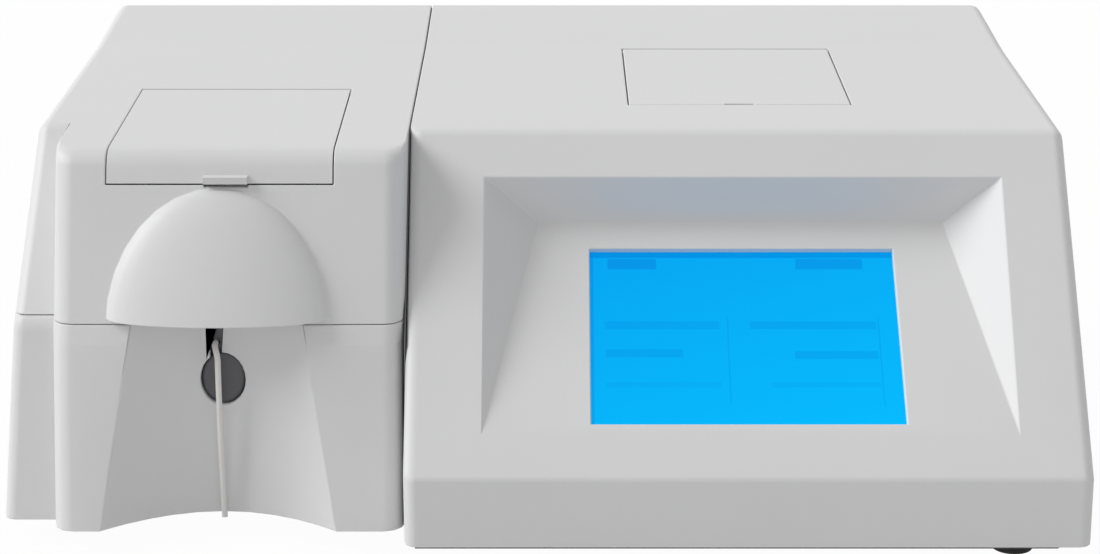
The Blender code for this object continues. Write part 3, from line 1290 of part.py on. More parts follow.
def make_pump(finishes):
    """Peristaltic pump: block with its track, rotor with rollers, motor and the pump tube."""
    right = PUMP_LEFT + PUMP_WIDTH
    half = PUMP_BLOCK / 2
    block = casing_box("pump_head", (PUMP_LEFT, right), (PUMP_DEPTH - half, PUMP_DEPTH + half),
                       (TRAY_TOP + GAP, PUMP_HEIGHT + half), finishes["dark"])
    floor = right - PUMP_FLOOR
    axis_y, axis_z = world(PUMP_DEPTH, PUMP_HEIGHT)
    cut(block, rod("pump_track", PUMP_TRACK, (PUMP_LEFT - OVERRUN, axis_y, axis_z),
                   floor - PUMP_LEFT + OVERRUN, "X"),
        casing_box("pump_way_out", (PUMP_LEFT - OVERRUN, floor), (PUMP_DEPTH, PUMP_DEPTH + PUMP_BLOCK),
                   (PUMP_HEIGHT - PUMP_TRACK, PUMP_HEIGHT + PUMP_TRACK)),
        rod("pump_shaft_hole", SHAFT_RADIUS + SHAFT_PLAY, (floor - OVERRUN, axis_y, axis_z),
            PUMP_FLOOR + 2 * OVERRUN, "X", segments=SMALL_SEGMENTS))
    left = PUMP_LEFT + EDGE_GAP
    length = floor - EDGE_GAP - left
    motor_face = right + GAP
    hub = turned("pump_rotor", [(0, 0), (PUMP_HUB, 0), (PUMP_HUB, length), (SHAFT_RADIUS, length),
                                (SHAFT_RADIUS, motor_face - GAP - left), (0, motor_face - GAP - left)],
                 (left, axis_y, axis_z), "X", finishes["alloy"])
    join(hub, rod("rotor_disc_1", PUMP_DISC_RADIUS, (left, axis_y, axis_z), PUMP_DISC, "X"),
         rod("rotor_disc_2", PUMP_DISC_RADIUS, (left + length - PUMP_DISC, axis_y, axis_z), PUMP_DISC, "X"))
    for index in range(PUMP_ROLLERS):
        angle = 2 * math.pi * index / PUMP_ROLLERS
        reach = PUMP_ROTOR - PUMP_ROLLER
        roller_y = axis_y + reach * math.cos(angle)
        roller_z = axis_z + reach * math.sin(angle)
        join(hub, rod("rotor_roller_%d" % index, PUMP_ROLLER, (left + PUMP_DISC / 2, roller_y, roller_z),
                      length - PUMP_DISC, "X", segments=SMALL_SEGMENTS))
    set_origin(hub, left, axis_y, axis_z)
    rod("pump_motor", PUMP_MOTOR_RADIUS, (motor_face, axis_y, axis_z), PUMP_MOTOR_LENGTH, "X",
        finishes["steel"])

    tube_x = (left + floor) / 2
    bend = PUMP_TRACK - PUMP_TUBE - GAP
    entry = (OPTIC_X - CELL_BLOCK_SIZE / 2 - GAP,
             *world(CELL_BLOCK_FRONT + CELL_BLOCK_SIZE / 2, OPTIC_HEIGHT))
    rear = PUMP_DEPTH + half
    turn_depth = WHEEL_DEPTH
    upper = PUMP_HEIGHT + bend
    lower = PUMP_HEIGHT - bend
    down = [Vector(entry)] + smooth_route([
        (entry[0] - SIPPER_STRAIGHT, entry[1], entry[2]),
        (entry[0] - CUVETTE_SIZE, entry[1], entry[2]),
        ((entry[0] + tube_x) / 2, *world(rear + CUVETTE_FLOOR, OPTIC_HEIGHT)),
        (tube_x + CUVETTE_SIZE, *world(turn_depth, OPTIC_HEIGHT - CUVETTE_FLOOR)),
        (tube_x + PUMP_TUBE, *world(turn_depth + CUVETTE_FLOOR, (OPTIC_HEIGHT + upper) / 2)),
        (tube_x, *world(turn_depth, upper + PUMP_TUBE)),
        (tube_x, *world(rear + CUVETTE_FLOOR, upper)),
        (tube_x, *world(PUMP_DEPTH + CUVETTE_FLOOR, upper)),
    ], 4)
    for index in range(PUMP_ARC_POINTS + 1):
        angle = math.pi / 2 + math.pi * index / PUMP_ARC_POINTS
        down.append(Vector((tube_x, *world(PUMP_DEPTH + bend * math.cos(angle),
                                           PUMP_HEIGHT + bend * math.sin(angle)))))
    fitting = REAR_PANEL_FACE + GAP + FLANGE_THICK - WASTE_LENGTH - GAP
    down += smooth_route([
        (tube_x, *world(rear, lower)),
        (tube_x, *world(rear + PUMP_BLOCK, lower)),
        ((tube_x + WASTE_X) / 2, *world(BENCH_REAR - PUMP_BLOCK / 2, lower)),
        (WASTE_X, *world(BENCH_REAR, lower)),
        (WASTE_X, *world(fitting, lower)),
    ], 3)
    tube_curve("pump_tube", down, PUMP_TUBE, finishes["tube"])
    face = REAR_PANEL_FACE + GAP + FLANGE_THICK
    turned("waste_fitting", [(WASTE_BORE, -WASTE_LENGTH), (WASTE_RADIUS, -WASTE_LENGTH),
                             (WASTE_RADIUS, -FLANGE_THICK), (WASTE_FLANGE, -FLANGE_THICK), (WASTE_FLANGE, 0),
                             (WASTE_BORE, 0)],
           (WASTE_X, *world(face, lower)), "Y", finishes["dark"])


def make_optics(finishes):
    """Optical bench with the light path from the lamp to the detector."""
    half = BENCH_WIDTH / 2
    bench = casing_box("optical_bench", (OPTIC_X - half, OPTIC_X + half), (BENCH_FRONT, BENCH_REAR),
                       (BENCH_TOP - BENCH_THICK, BENCH_TOP), finishes["alloy"])
    for x in (OPTIC_X - half, OPTIC_X + half - BENCH_LEG):
        for p in (BENCH_FRONT, BENCH_REAR - BENCH_LEG):
            join(bench, casing_box("bench_leg", (x, x + BENCH_LEG), (p, p + BENCH_LEG),
                                   (TRAY_TOP + GAP, BENCH_TOP - BENCH_THICK / 2)))
    wheel_height = OPTIC_HEIGHT - FILTER_CIRCLE
    motor_front = WHEEL_DEPTH + WHEEL_THICK + WHEEL_SHAFT_LENGTH
    join(bench, casing_box("wheel_motor_cradle", (OPTIC_X - BENCH_LEG, OPTIC_X + BENCH_LEG),
                           (motor_front + GAP, motor_front + WHEEL_MOTOR_LENGTH - BENCH_LEG),
                           (BENCH_TOP - BENCH_THICK / 2, wheel_height - WHEEL_MOTOR_RADIUS - GAP)))
    base = BENCH_TOP + GAP
    axis_y, axis_z = world(0, OPTIC_HEIGHT)

    board = casing_box("detector_board", (OPTIC_X - DETECTOR_WIDTH / 2, OPTIC_X + DETECTOR_WIDTH / 2),
                       (DETECTOR_DEPTH, DETECTOR_DEPTH + BOARD_THICK), (base, base + DETECTOR_TALL),
                       finishes["board"])
    join(board, rod("detector_can", DETECTOR_CAN,
                    (OPTIC_X, axis_y + DETECTOR_DEPTH + BOARD_THICK / 2, axis_z), DETECTOR_CAN_LENGTH, "Y"))

    block_half = CELL_BLOCK_SIZE / 2
    middle = CELL_BLOCK_FRONT + block_half
    block = casing_box("cell_block", (OPTIC_X - block_half, OPTIC_X + block_half),
                       (CELL_BLOCK_FRONT, CELL_BLOCK_FRONT + CELL_BLOCK_SIZE),
                       (CELL_BLOCK_LOW, CELL_BLOCK_LOW + CELL_BLOCK_SIZE), finishes["alloy"])
    pocket = CUVETTE_SIZE / 2 + GAP
    pocket_floor = CELL_BLOCK_LOW + CUVETTE_FLOOR
    cut(block, casing_box("cell_pocket", (OPTIC_X - pocket, OPTIC_X + pocket),
                          (middle - pocket, middle + pocket),
                          (pocket_floor, CELL_BLOCK_LOW + CELL_BLOCK_SIZE + OVERRUN)),
        rod("light_bore", LIGHT_BORE, (OPTIC_X, axis_y + CELL_BLOCK_FRONT - OVERRUN, axis_z),
            CELL_BLOCK_SIZE + 2 * OVERRUN, "Y", segments=SMALL_SEGMENTS))
    cell = CUVETTE_SIZE / 2
    casing_box("flow_cell", (OPTIC_X - cell, OPTIC_X + cell), (middle - cell, middle + cell),
               (pocket_floor + GAP, CELL_BLOCK_LOW + CELL_BLOCK_SIZE + CUVETTE_PROUD), finishes["clear"])
    cooler_top = CELL_BLOCK_LOW - GAP
    casing_box("peltier_cooler", (OPTIC_X - block_half, OPTIC_X + block_half),
               (CELL_BLOCK_FRONT, CELL_BLOCK_FRONT + CELL_BLOCK_SIZE),
               (cooler_top - PELTIER_THICK, cooler_top), finishes["clear"])
    make_heat_sink(cooler_top - PELTIER_THICK - GAP, base, finishes)

    wheel = rod("filter_wheel", WHEEL_RADIUS, (OPTIC_X, *world(WHEEL_DEPTH, wheel_height)), WHEEL_THICK, "Y",
                finishes["dark"])
    join(wheel, rod("wheel_shaft", SHAFT_RADIUS,
                    (OPTIC_X, *world(WHEEL_DEPTH + WHEEL_THICK / 2, wheel_height)),
                    WHEEL_THICK / 2 + WHEEL_SHAFT_LENGTH - GAP, "Y", segments=SMALL_SEGMENTS))
    for index in range(FILTER_COUNT):
        angle = 2 * math.pi * index / FILTER_COUNT
        y, z = world(WHEEL_DEPTH - OVERRUN, wheel_height + FILTER_CIRCLE * math.cos(angle))
        cut(wheel, rod("filter_hole_%d" % index, FILTER_RADIUS,
                       (OPTIC_X + FILTER_CIRCLE * math.sin(angle), y, z),
                       WHEEL_THICK + 2 * OVERRUN, "Y", segments=SMALL_SEGMENTS))
    set_origin(wheel, OPTIC_X, *world(WHEEL_DEPTH, wheel_height))
    rod("filter_motor", WHEEL_MOTOR_RADIUS, (OPTIC_X, *world(motor_front, wheel_height)),
        WHEEL_MOTOR_LENGTH, "Y", finishes["steel"])
    ring("lens_tube", LENS_RADIUS, LENS_RADIUS - LIGHT_BORE, (OPTIC_X, axis_y + LENS_FRONT, axis_z),
         LAMP_HOUSE_FRONT - GAP - LENS_FRONT, "Y", finishes["dark"])
    make_lamp(base, axis_y, axis_z, finishes)


def make_heat_sink(top, bottom, finishes):
    """Finned block under the cooler, its fins standing on the bench."""
    left = OPTIC_X - HEAT_SINK_WIDTH / 2
    step = (HEAT_SINK_WIDTH - FIN_THICK) / (FIN_COUNT - 1)
    root = top - HEAT_SINK_BASE
    outline = [(left, top), (left, bottom)]
    for index in range(FIN_COUNT):
        fin_left = left + index * step
        if index > 0:
            outline += [(fin_left, root), (fin_left, bottom)]
        outline.append((fin_left + FIN_THICK, bottom))
        if index < FIN_COUNT - 1:
            outline.append((fin_left + FIN_THICK, root))
    outline.append((left + HEAT_SINK_WIDTH, top))
    loops = []
    for p in (CELL_BLOCK_FRONT, CELL_BLOCK_FRONT + CELL_BLOCK_SIZE):
        loops.append([(x, *world(p, h)) for x, h in outline])
    loft("heat_sink", loops, finishes["alloy"])


def make_lamp(base, axis_y, axis_z, finishes):
    """Open-topped lamp house with the halogen lamp in it."""
    half = LAMP_HOUSE_WIDTH / 2
    rear = LAMP_HOUSE_FRONT + LAMP_HOUSE_DEEP
    house = casing_box("lamp_house", (OPTIC_X - half, OPTIC_X + half), (LAMP_HOUSE_FRONT, rear),
                       (base, base + LAMP_HOUSE_TALL), finishes["steel"])
    floor = base + LAMP_WALL
    cut(house, casing_box("lamp_hollow", (OPTIC_X - half + LAMP_WALL, OPTIC_X + half - LAMP_WALL),
                          (LAMP_HOUSE_FRONT + LAMP_WALL, rear - LAMP_WALL),
                          (floor, base + LAMP_HOUSE_TALL + OVERRUN)),
        rod("lamp_window", LENS_RADIUS - LIGHT_BORE, (OPTIC_X, axis_y + LAMP_HOUSE_FRONT - OVERRUN, axis_z),
            LAMP_WALL + 2 * OVERRUN, "Y", segments=SMALL_SEGMENTS))
    for index in (-1, 0, 1):
        x = OPTIC_X + index * VENT_STEP
        cut(house, casing_box("lamp_vent_%d" % (index + 2), (x - VENT_WIDTH / 2, x + VENT_WIDTH / 2),
                              (rear - LAMP_WALL - OVERRUN, rear + OVERRUN),
                              (floor + VENT_STEP, base + LAMP_HOUSE_TALL - VENT_STEP)))
    shoulder = LAMP_BASE_TALL + LAMP_RADIUS
    turned("halogen_lamp", [(0, 0), (LAMP_BASE_RADIUS, 0), (LAMP_BASE_RADIUS, LAMP_BASE_TALL),
                            (LAMP_RADIUS / 2, LAMP_BASE_TALL), (LAMP_RADIUS, shoulder),
                            (LAMP_RADIUS, LAMP_TALL - LAMP_RADIUS), (0, LAMP_TALL)],
           (OPTIC_X, *world((LAMP_HOUSE_FRONT + rear) / 2, floor + GAP)), "Z", finishes["clear"])


def make_fan(finishes):
    """Axial fan behind the lamp house, against the rear panel."""
    half = FAN_SIZE / 2
    rear = REAR_PANEL_FRONT - GAP
    front = rear - FAN_DEEP
    y, z = world(front, OPTIC_HEIGHT)
    frame = casing_box("fan_frame", (OPTIC_X - half, OPTIC_X + half), (front, rear),
                       (OPTIC_HEIGHT - half, OPTIC_HEIGHT + half), finishes["dark"])
    cut(frame, rod("fan_bore", FAN_BORE, (OPTIC_X, y - OVERRUN, z), FAN_DEEP + 2 * OVERRUN, "Y"))
    spider = rear - FAN_SPIDER
    join(frame, casing_box("fan_strut_across", (OPTIC_X - half + EDGE_GAP, OPTIC_X + half - EDGE_GAP),
                           (spider, rear - GAP),
                           (OPTIC_HEIGHT - FAN_SPIDER_WIDTH / 2, OPTIC_HEIGHT + FAN_SPIDER_WIDTH / 2)),
         casing_box("fan_strut_up", (OPTIC_X - FAN_SPIDER_WIDTH / 2, OPTIC_X + FAN_SPIDER_WIDTH / 2),
                    (spider, rear - GAP), (OPTIC_HEIGHT - half + EDGE_GAP, OPTIC_HEIGHT + half - EDGE_GAP)),
         rod("fan_seat", FAN_HUB, (OPTIC_X, *world(spider, OPTIC_HEIGHT)), FAN_SPIDER - GAP, "Y"))
    start = y + EDGE_GAP
    length = FAN_DEEP - FAN_SPIDER - GAP - EDGE_GAP
    rotor = rod("fan_rotor", FAN_HUB, (OPTIC_X, start, z), length, "Y", finishes["dark"])
    for index in range(FAN_BLADES):
        build = bmesh.new()
        bmesh.ops.create_cube(build, size=1.0)
        inner = FAN_HUB - FAN_BLADE_THICK
        span = FAN_BLADE_RADIUS - inner
        chord = length - 2 * FAN_BLADE_THICK
        bmesh.ops.scale(build, vec=(FAN_BLADE_THICK, chord, span), verts=build.verts)
        twist = Matrix.Rotation(math.radians(FAN_BLADE_TWIST), 4, "Z")
        out = Matrix.Translation((0, 0, inner + span / 2))
        around = Matrix.Rotation(2 * math.pi * index / FAN_BLADES, 4, "Y")
        place = Matrix.Translation((OPTIC_X, start + length / 2, z))
        bmesh.ops.transform(build, matrix=place @ around @ out @ twist, verts=build.verts)
        join(rotor, mesh_object("fan_blade_%d" % index, build, None))
    set_origin(rotor, OPTIC_X, start, z)


def panel_fitting(name, x, width, tall, deep, finish):
    """A fitting with a body through the rear panel and a flange outside it."""
    face = REAR_PANEL_FACE + GAP
    body = casing_box(name, (x - width / 2, x + width / 2),
                      (face + FLANGE_THICK - deep, face + FLANGE_THICK / 2),
                      (POWER_ROW_HEIGHT - tall / 2, POWER_ROW_HEIGHT + tall / 2), finish)
    half_tall = tall / 2 + FLANGE_LAP
    join(body, casing_box(name + "_flange", (x - width / 2 - FLANGE_LAP, x + width / 2 + FLANGE_LAP),
                          (face, face + FLANGE_THICK),
                          (POWER_ROW_HEIGHT - half_tall, POWER_ROW_HEIGHT + half_tall)))
    hole = casing_box(name + "_hole", (x - width / 2 - EDGE_GAP, x + width / 2 + EDGE_GAP),
                      (REAR_PANEL_FRONT - OVERRUN, REAR_PANEL_FACE + OVERRUN),
                      (POWER_ROW_HEIGHT - tall / 2 - EDGE_GAP, POWER_ROW_HEIGHT + tall / 2 + EDGE_GAP))
    return body, hole


def make_port(name, x, width, tall, finishes):
    """A data socket that stands on the mainboard and looks out of the rear panel."""
    low = main_board_top() + GAP
    face = REAR_PANEL_FACE + GAP + FLANGE_THICK
    port = casing_box(name, (x - width / 2, x + width / 2), (face - PORT_DEEP, face), (low, low + tall),
                      finishes["steel"])
    cut(port, casing_box(name + "_pocket", (x - width / 2 + PORT_WALL, x + width / 2 - PORT_WALL),
                         (face - PORT_POCKET, face + OVERRUN), (low + PORT_WALL, low + tall - PORT_WALL)))
    return casing_box(name + "_hole", (x - width / 2 - EDGE_GAP, x + width / 2 + EDGE_GAP),
                      (REAR_PANEL_FRONT - OVERRUN, REAR_PANEL_FACE + OVERRUN),
                      (low - EDGE_GAP, low + tall + EDGE_GAP))


def make_rear_panel(finishes):
    """Rear panel with the power fittings, data sockets and fan grille."""
    panel = casing_box("rear_panel", (REAR_OPENING_LEFT + EDGE_GAP, RIGHT_END - REAR_RIM - EDGE_GAP),
                       (REAR_PANEL_FRONT, REAR_PANEL_FACE), (EDGE_GAP, REAR_OPENING_TOP - EDGE_GAP),
                       finishes["tray"])
    face = REAR_PANEL_FACE + GAP + FLANGE_THICK
    inlet, inlet_hole = panel_fitting("mains_inlet", INLET_X, INLET_WIDTH, INLET_TALL, INLET_DEEP,
                                      finishes["dark"])
    cut(inlet, casing_box("inlet_pocket", (INLET_X - INLET_WIDTH / 2 + SOCKET_WALL,
                                           INLET_X + INLET_WIDTH / 2 - SOCKET_WALL),
                          (face - INLET_POCKET, face + OVERRUN),
                          (POWER_ROW_HEIGHT - INLET_TALL / 2 + SOCKET_WALL,
                           POWER_ROW_HEIGHT + INLET_TALL / 2 - SOCKET_WALL)))
    for index in (-1, 0, 1):
        x = INLET_X + index * PIN_STEP
        rise = PIN_WIDTH if index == 0 else -PIN_WIDTH
        join(inlet, casing_box("inlet_pin_%d" % (index + 2), (x - PIN_WIDTH / 2, x + PIN_WIDTH / 2),
                               (face - INLET_POCKET - PIN_WIDTH, face - INLET_POCKET + PIN_LENGTH),
                               (POWER_ROW_HEIGHT + rise - PIN_WIDTH, POWER_ROW_HEIGHT + rise + PIN_WIDTH)))
    rim = FUSE_RADIUS + FLANGE_LAP / 2
    turned("fuse_holder", [(0, -FUSE_LENGTH), (FUSE_RADIUS, -FUSE_LENGTH), (FUSE_RADIUS, -FLANGE_THICK),
                           (rim, -FLANGE_THICK), (rim, 0), (0, 0)],
           (FUSE_X, *world(face, POWER_ROW_HEIGHT)), "Y", finishes["dark"])
    fuse_hole = rod("fuse_hole", FUSE_RADIUS + EDGE_GAP,
                    (FUSE_X, *world(REAR_PANEL_FRONT - OVERRUN, POWER_ROW_HEIGHT)),
                    REAR_PANEL_THICK + 2 * OVERRUN, "Y")
    lower = PUMP_HEIGHT - PUMP_TRACK + PUMP_TUBE + GAP
    waste_hole = rod("waste_hole", WASTE_RADIUS + EDGE_GAP,
                     (WASTE_X, *world(REAR_PANEL_FRONT - OVERRUN, lower)),
                     REAR_PANEL_THICK + 2 * OVERRUN, "Y")
    rocker_hole = make_rocker(finishes)
    cut(panel, inlet_hole, fuse_hole, waste_hole, rocker_hole,
        make_port("serial_port", SERIAL_X, SERIAL_WIDTH, SERIAL_TALL, finishes),
        make_port("usb_port", USB_X, USB_WIDTH, USB_TALL, finishes))
    for index in range(GRILLE_SLOTS):
        rise = (index - (GRILLE_SLOTS - 1) / 2) * GRILLE_STEP
        reach = math.sqrt(FAN_BORE ** 2 - rise ** 2)
        cut(panel, casing_box("grille_slot_%d" % index, (OPTIC_X - reach, OPTIC_X + reach),
                              (REAR_PANEL_FRONT - OVERRUN, REAR_PANEL_FACE + OVERRUN),
                              (OPTIC_HEIGHT + rise - GRILLE_SLOT_WIDTH / 2,
                               OPTIC_HEIGHT + rise + GRILLE_SLOT_WIDTH / 2)))


def make_rocker(finishes):
    """Power switch: frame in the rear panel and the rocker that tips in it."""
    pocket_width = ROCKER_WIDTH + 2 * GAP
    pocket_tall = ROCKER_TALL + 2 * ROCKER_PLAY
    frame, hole = panel_fitting("switch_frame", ROCKER_X, pocket_width + 2 * ROCKER_FRAME_WALL,
                                pocket_tall + 2 * ROCKER_FRAME_WALL, ROCKER_FRAME_DEEP, finishes["dark"])
    face = REAR_PANEL_FACE + GAP + FLANGE_THICK
    axis_depth = face - ROCKER_SUNK - ROCKER_THICK / 2
    cut(frame, casing_box("switch_pocket", (ROCKER_X - pocket_width / 2, ROCKER_X + pocket_width / 2),
                          (face - ROCKER_POCKET, face + OVERRUN),
                          (POWER_ROW_HEIGHT - pocket_tall / 2, POWER_ROW_HEIGHT + pocket_tall / 2)),
        rod("switch_axle_hole", ROCKER_AXLE + GAP,
            (ROCKER_X - ROCKER_WIDTH / 2 - ROCKER_AXLE_REACH - GAP, *world(axis_depth, POWER_ROW_HEIGHT)),
            ROCKER_WIDTH + 2 * (ROCKER_AXLE_REACH + GAP), "X", segments=SMALL_SEGMENTS))
    build = bmesh.new()
    bmesh.ops.create_cube(build, size=1.0)
    bmesh.ops.scale(build, vec=(ROCKER_WIDTH, ROCKER_THICK, ROCKER_TALL), verts=build.verts)
    tilt = Matrix.Rotation(math.radians(ROCKER_TILT), 4, "X")
    place = Matrix.Translation((ROCKER_X, *world(axis_depth, POWER_ROW_HEIGHT)))
    bmesh.ops.transform(build, matrix=place @ tilt, verts=build.verts)
    rocker = mesh_object("power_rocker", build, finishes["dark"])
    join(rocker, rod("rocker_axle", ROCKER_AXLE,
                     (ROCKER_X - ROCKER_WIDTH / 2 - ROCKER_AXLE_REACH, *world(axis_depth, POWER_ROW_HEIGHT)),
                     ROCKER_WIDTH + 2 * ROCKER_AXLE_REACH, "X", segments=SMALL_SEGMENTS))
    set_origin(rocker, ROCKER_X, *world(axis_depth, POWER_ROW_HEIGHT))
    return hole


def tray_outline(inset):
    """Plan outline of the tray; the left half steps back behind the scoop."""
    edge = WALL + EDGE_GAP + inset
    left = LEFT_END + edge + LEFT_DRAFT_SHARE * TRAY_FLANGE
    right = RIGHT_END - edge
    front = edge
    rear = REAR_PANEL_FRONT - EDGE_GAP - inset
    step_x = SEAM_X + WALL + GAP + TRAY_SEAM_PLAY + inset
    left_front = TRAY_LEFT_FRONT + inset
    return [
        (left, left_front), (step_x, left_front), (step_x, front), (right - TRAY_CHAMFER, front),
        (right, front + TRAY_CHAMFER), (right, rear - TRAY_CHAMFER), (right - TRAY_CHAMFER, rear),
        (left + TRAY_CHAMFER, rear), (left, rear - TRAY_CHAMFER),
    ]


def plan_prism(name, outline, h_range, finish=None):
    loops = []
    for h in h_range:
        loops.append([(x, *world(p, h)) for x, p in outline])
    return loft(name, loops, finish)


def main_board_top():
    return TRAY_TOP + STANDOFF_TALL + GAP + BOARD_THICK


def make_base(finishes):
    """Base tray with its rim and standoffs, feet, mainboard and power supply."""
    tray = plan_prism("base_tray", tray_outline(0.0), (-TRAY_SHOW, TRAY_FLANGE), finishes["tray"])
    cut(tray, plan_prism("tray_hollow", tray_outline(TRAY_SHEET), (TRAY_TOP, TRAY_FLANGE + OVERRUN)))
    seam = WALL + GAP + TRAY_SEAM_PLAY
    cut(tray, casing_box("tray_seam_cut", (SEAM_X - seam, SEAM_X + WALL + GAP), (0, BODY_DEPTH),
                         (TRAY_TOP, TRAY_FLANGE + OVERRUN)))
    cut(tray, casing_box("tray_port_cut", (USB_X - USB_WIDTH, SERIAL_X + SERIAL_WIDTH),
                         (MAIN_REAR, BODY_DEPTH),
                         (TRAY_TOP, TRAY_FLANGE + OVERRUN)))
    main_right = MAIN_LEFT + MAIN_WIDTH
    for x in (MAIN_LEFT + STANDOFF_INSET, main_right - STANDOFF_INSET - STANDOFF_SIZE):
        for p in (MAIN_FRONT + STANDOFF_INSET, MAIN_REAR - STANDOFF_INSET - STANDOFF_SIZE):
            join(tray, casing_box("standoff", (x, x + STANDOFF_SIZE), (p, p + STANDOFF_SIZE),
                                  (TRAY_TOP - TRAY_SHEET / 2, TRAY_TOP + STANDOFF_TALL)))
    places = {
        "foot_front_left": (LEFT_END + FOOT_INSET_X, TRAY_LEFT_FRONT + FOOT_INSET_Y),
        "foot_front_right": (RIGHT_END - FOOT_INSET_X, FOOT_INSET_Y),
        "foot_rear_left": (LEFT_END + FOOT_INSET_X, BODY_DEPTH - FOOT_INSET_Y),
        "foot_rear_right": (RIGHT_END - FOOT_INSET_X, BODY_DEPTH - FOOT_INSET_Y),
    }
    for name, (x, p) in places.items():
        turned(name, [(0, 0), (FOOT_RADIUS, 0), (FOOT_TOP_RADIUS, FOOT_HEIGHT - GAP), (0, FOOT_HEIGHT - GAP)],
               (x, p - HALF_DEPTH, 0), "Z", finishes["rubber"])
    top = main_board_top()
    board = casing_box("mainboard", (MAIN_LEFT, main_right), (MAIN_FRONT, MAIN_REAR),
                       (top - BOARD_THICK, top), finishes["board"])
    for column in (1, 2, 3):
        x = MAIN_LEFT + MAIN_WIDTH * column / 4
        p = MAIN_FRONT + CHIP_SIZE * column
        join(board, casing_box("chip_%d" % column, (x - CHIP_SIZE / 2, x + CHIP_SIZE / 2), (p, p + CHIP_SIZE),
                               (top - BOARD_THICK / 2, top + CHIP_TALL)))
    supply = casing_box("power_supply", (PSU_LEFT, PSU_LEFT + PSU_WIDTH), (PSU_FRONT, PSU_REAR),
                        (TRAY_TOP + GAP, PSU_TALL), finishes["alloy"])
    step = (PSU_REAR - PSU_FRONT) / (PSU_VENTS + 1)
    for index in range(PSU_VENTS):
        p = PSU_FRONT + step * (index + 1)
        cut(supply, casing_box("supply_vent_%d" % index,
                               (PSU_LEFT + VENT_STEP, PSU_LEFT + PSU_WIDTH - VENT_STEP),
                               (p - VENT_WIDTH / 2, p + VENT_WIDTH / 2),
                               (PSU_TALL - PSU_VENT_DEEP, PSU_TALL + OVERRUN)))


def main():
    remove_startup_objects()
    finishes = make_finishes()
    make_right_housing(finishes)
    make_hood(finishes)
    make_lower_housing(finishes)
    make_cell_bay(finishes)
    make_printer(finishes)
    make_screen(finishes)
    make_button(finishes)
    make_pump(finishes)
    make_optics(finishes)
    make_fan(finishes)
    make_rear_panel(finishes)
    make_base(finishes)


main()
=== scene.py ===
"""Benchtop chemistry analyzer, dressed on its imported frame.

Metres, +Z up. The instrument stands on the table at z = 0 and its front faces -Y.
"""

import json
import math

import bmesh
import bpy
from mathutils import Matrix, Vector


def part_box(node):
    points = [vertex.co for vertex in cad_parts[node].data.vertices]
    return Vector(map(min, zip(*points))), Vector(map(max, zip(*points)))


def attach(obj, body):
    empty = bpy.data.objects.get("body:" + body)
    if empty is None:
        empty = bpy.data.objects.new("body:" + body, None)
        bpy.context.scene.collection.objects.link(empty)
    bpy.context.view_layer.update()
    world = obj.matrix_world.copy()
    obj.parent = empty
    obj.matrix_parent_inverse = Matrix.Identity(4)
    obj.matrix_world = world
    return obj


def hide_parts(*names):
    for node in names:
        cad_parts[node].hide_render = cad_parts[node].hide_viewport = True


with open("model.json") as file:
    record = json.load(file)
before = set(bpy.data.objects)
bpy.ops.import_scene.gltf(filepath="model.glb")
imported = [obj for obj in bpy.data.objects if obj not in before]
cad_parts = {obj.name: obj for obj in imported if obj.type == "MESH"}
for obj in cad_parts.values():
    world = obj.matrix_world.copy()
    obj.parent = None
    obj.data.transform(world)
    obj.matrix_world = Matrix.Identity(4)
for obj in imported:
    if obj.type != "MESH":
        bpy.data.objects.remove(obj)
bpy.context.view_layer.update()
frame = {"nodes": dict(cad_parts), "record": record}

# Camera. It stands a little above the instrument and looks down on it, square to the front,
# from just under a metre away.
CAMERA_PLACE = (0.0036, -0.9787, 0.3889)
CAMERA_TILT = 72.0
CAMERA_LENS = 78.545

camera_data = bpy.data.cameras.new("camera")
camera_data.lens = CAMERA_LENS
camera = bpy.data.objects.new("camera", camera_data)
camera.location = CAMERA_PLACE
camera.rotation_euler = (math.radians(CAMERA_TILT), 0, 0)
bpy.context.scene.collection.objects.link(camera)
bpy.context.scene.camera = camera


# Sipper tube. A thin milky silicone tube that comes out of the guide above the button,
# bends over and hangs down in the scoop, leaning a little forward, cut off bare at its end.
SIPPER_START = (-0.1261, -0.10078, 0.0769)
SIPPER_RADIUS = 0.00115
SIPPER_STRAIGHT = 0.002
SIPPER_BEND = 0.0055
SIPPER_LEAN = math.radians(4.4)
SIPPER_END_HEIGHT = 0.009
SIPPER_SIDE = 0.0015
SIPPER_DRIFT = 0.0008
SIPPER_STEPS = 12


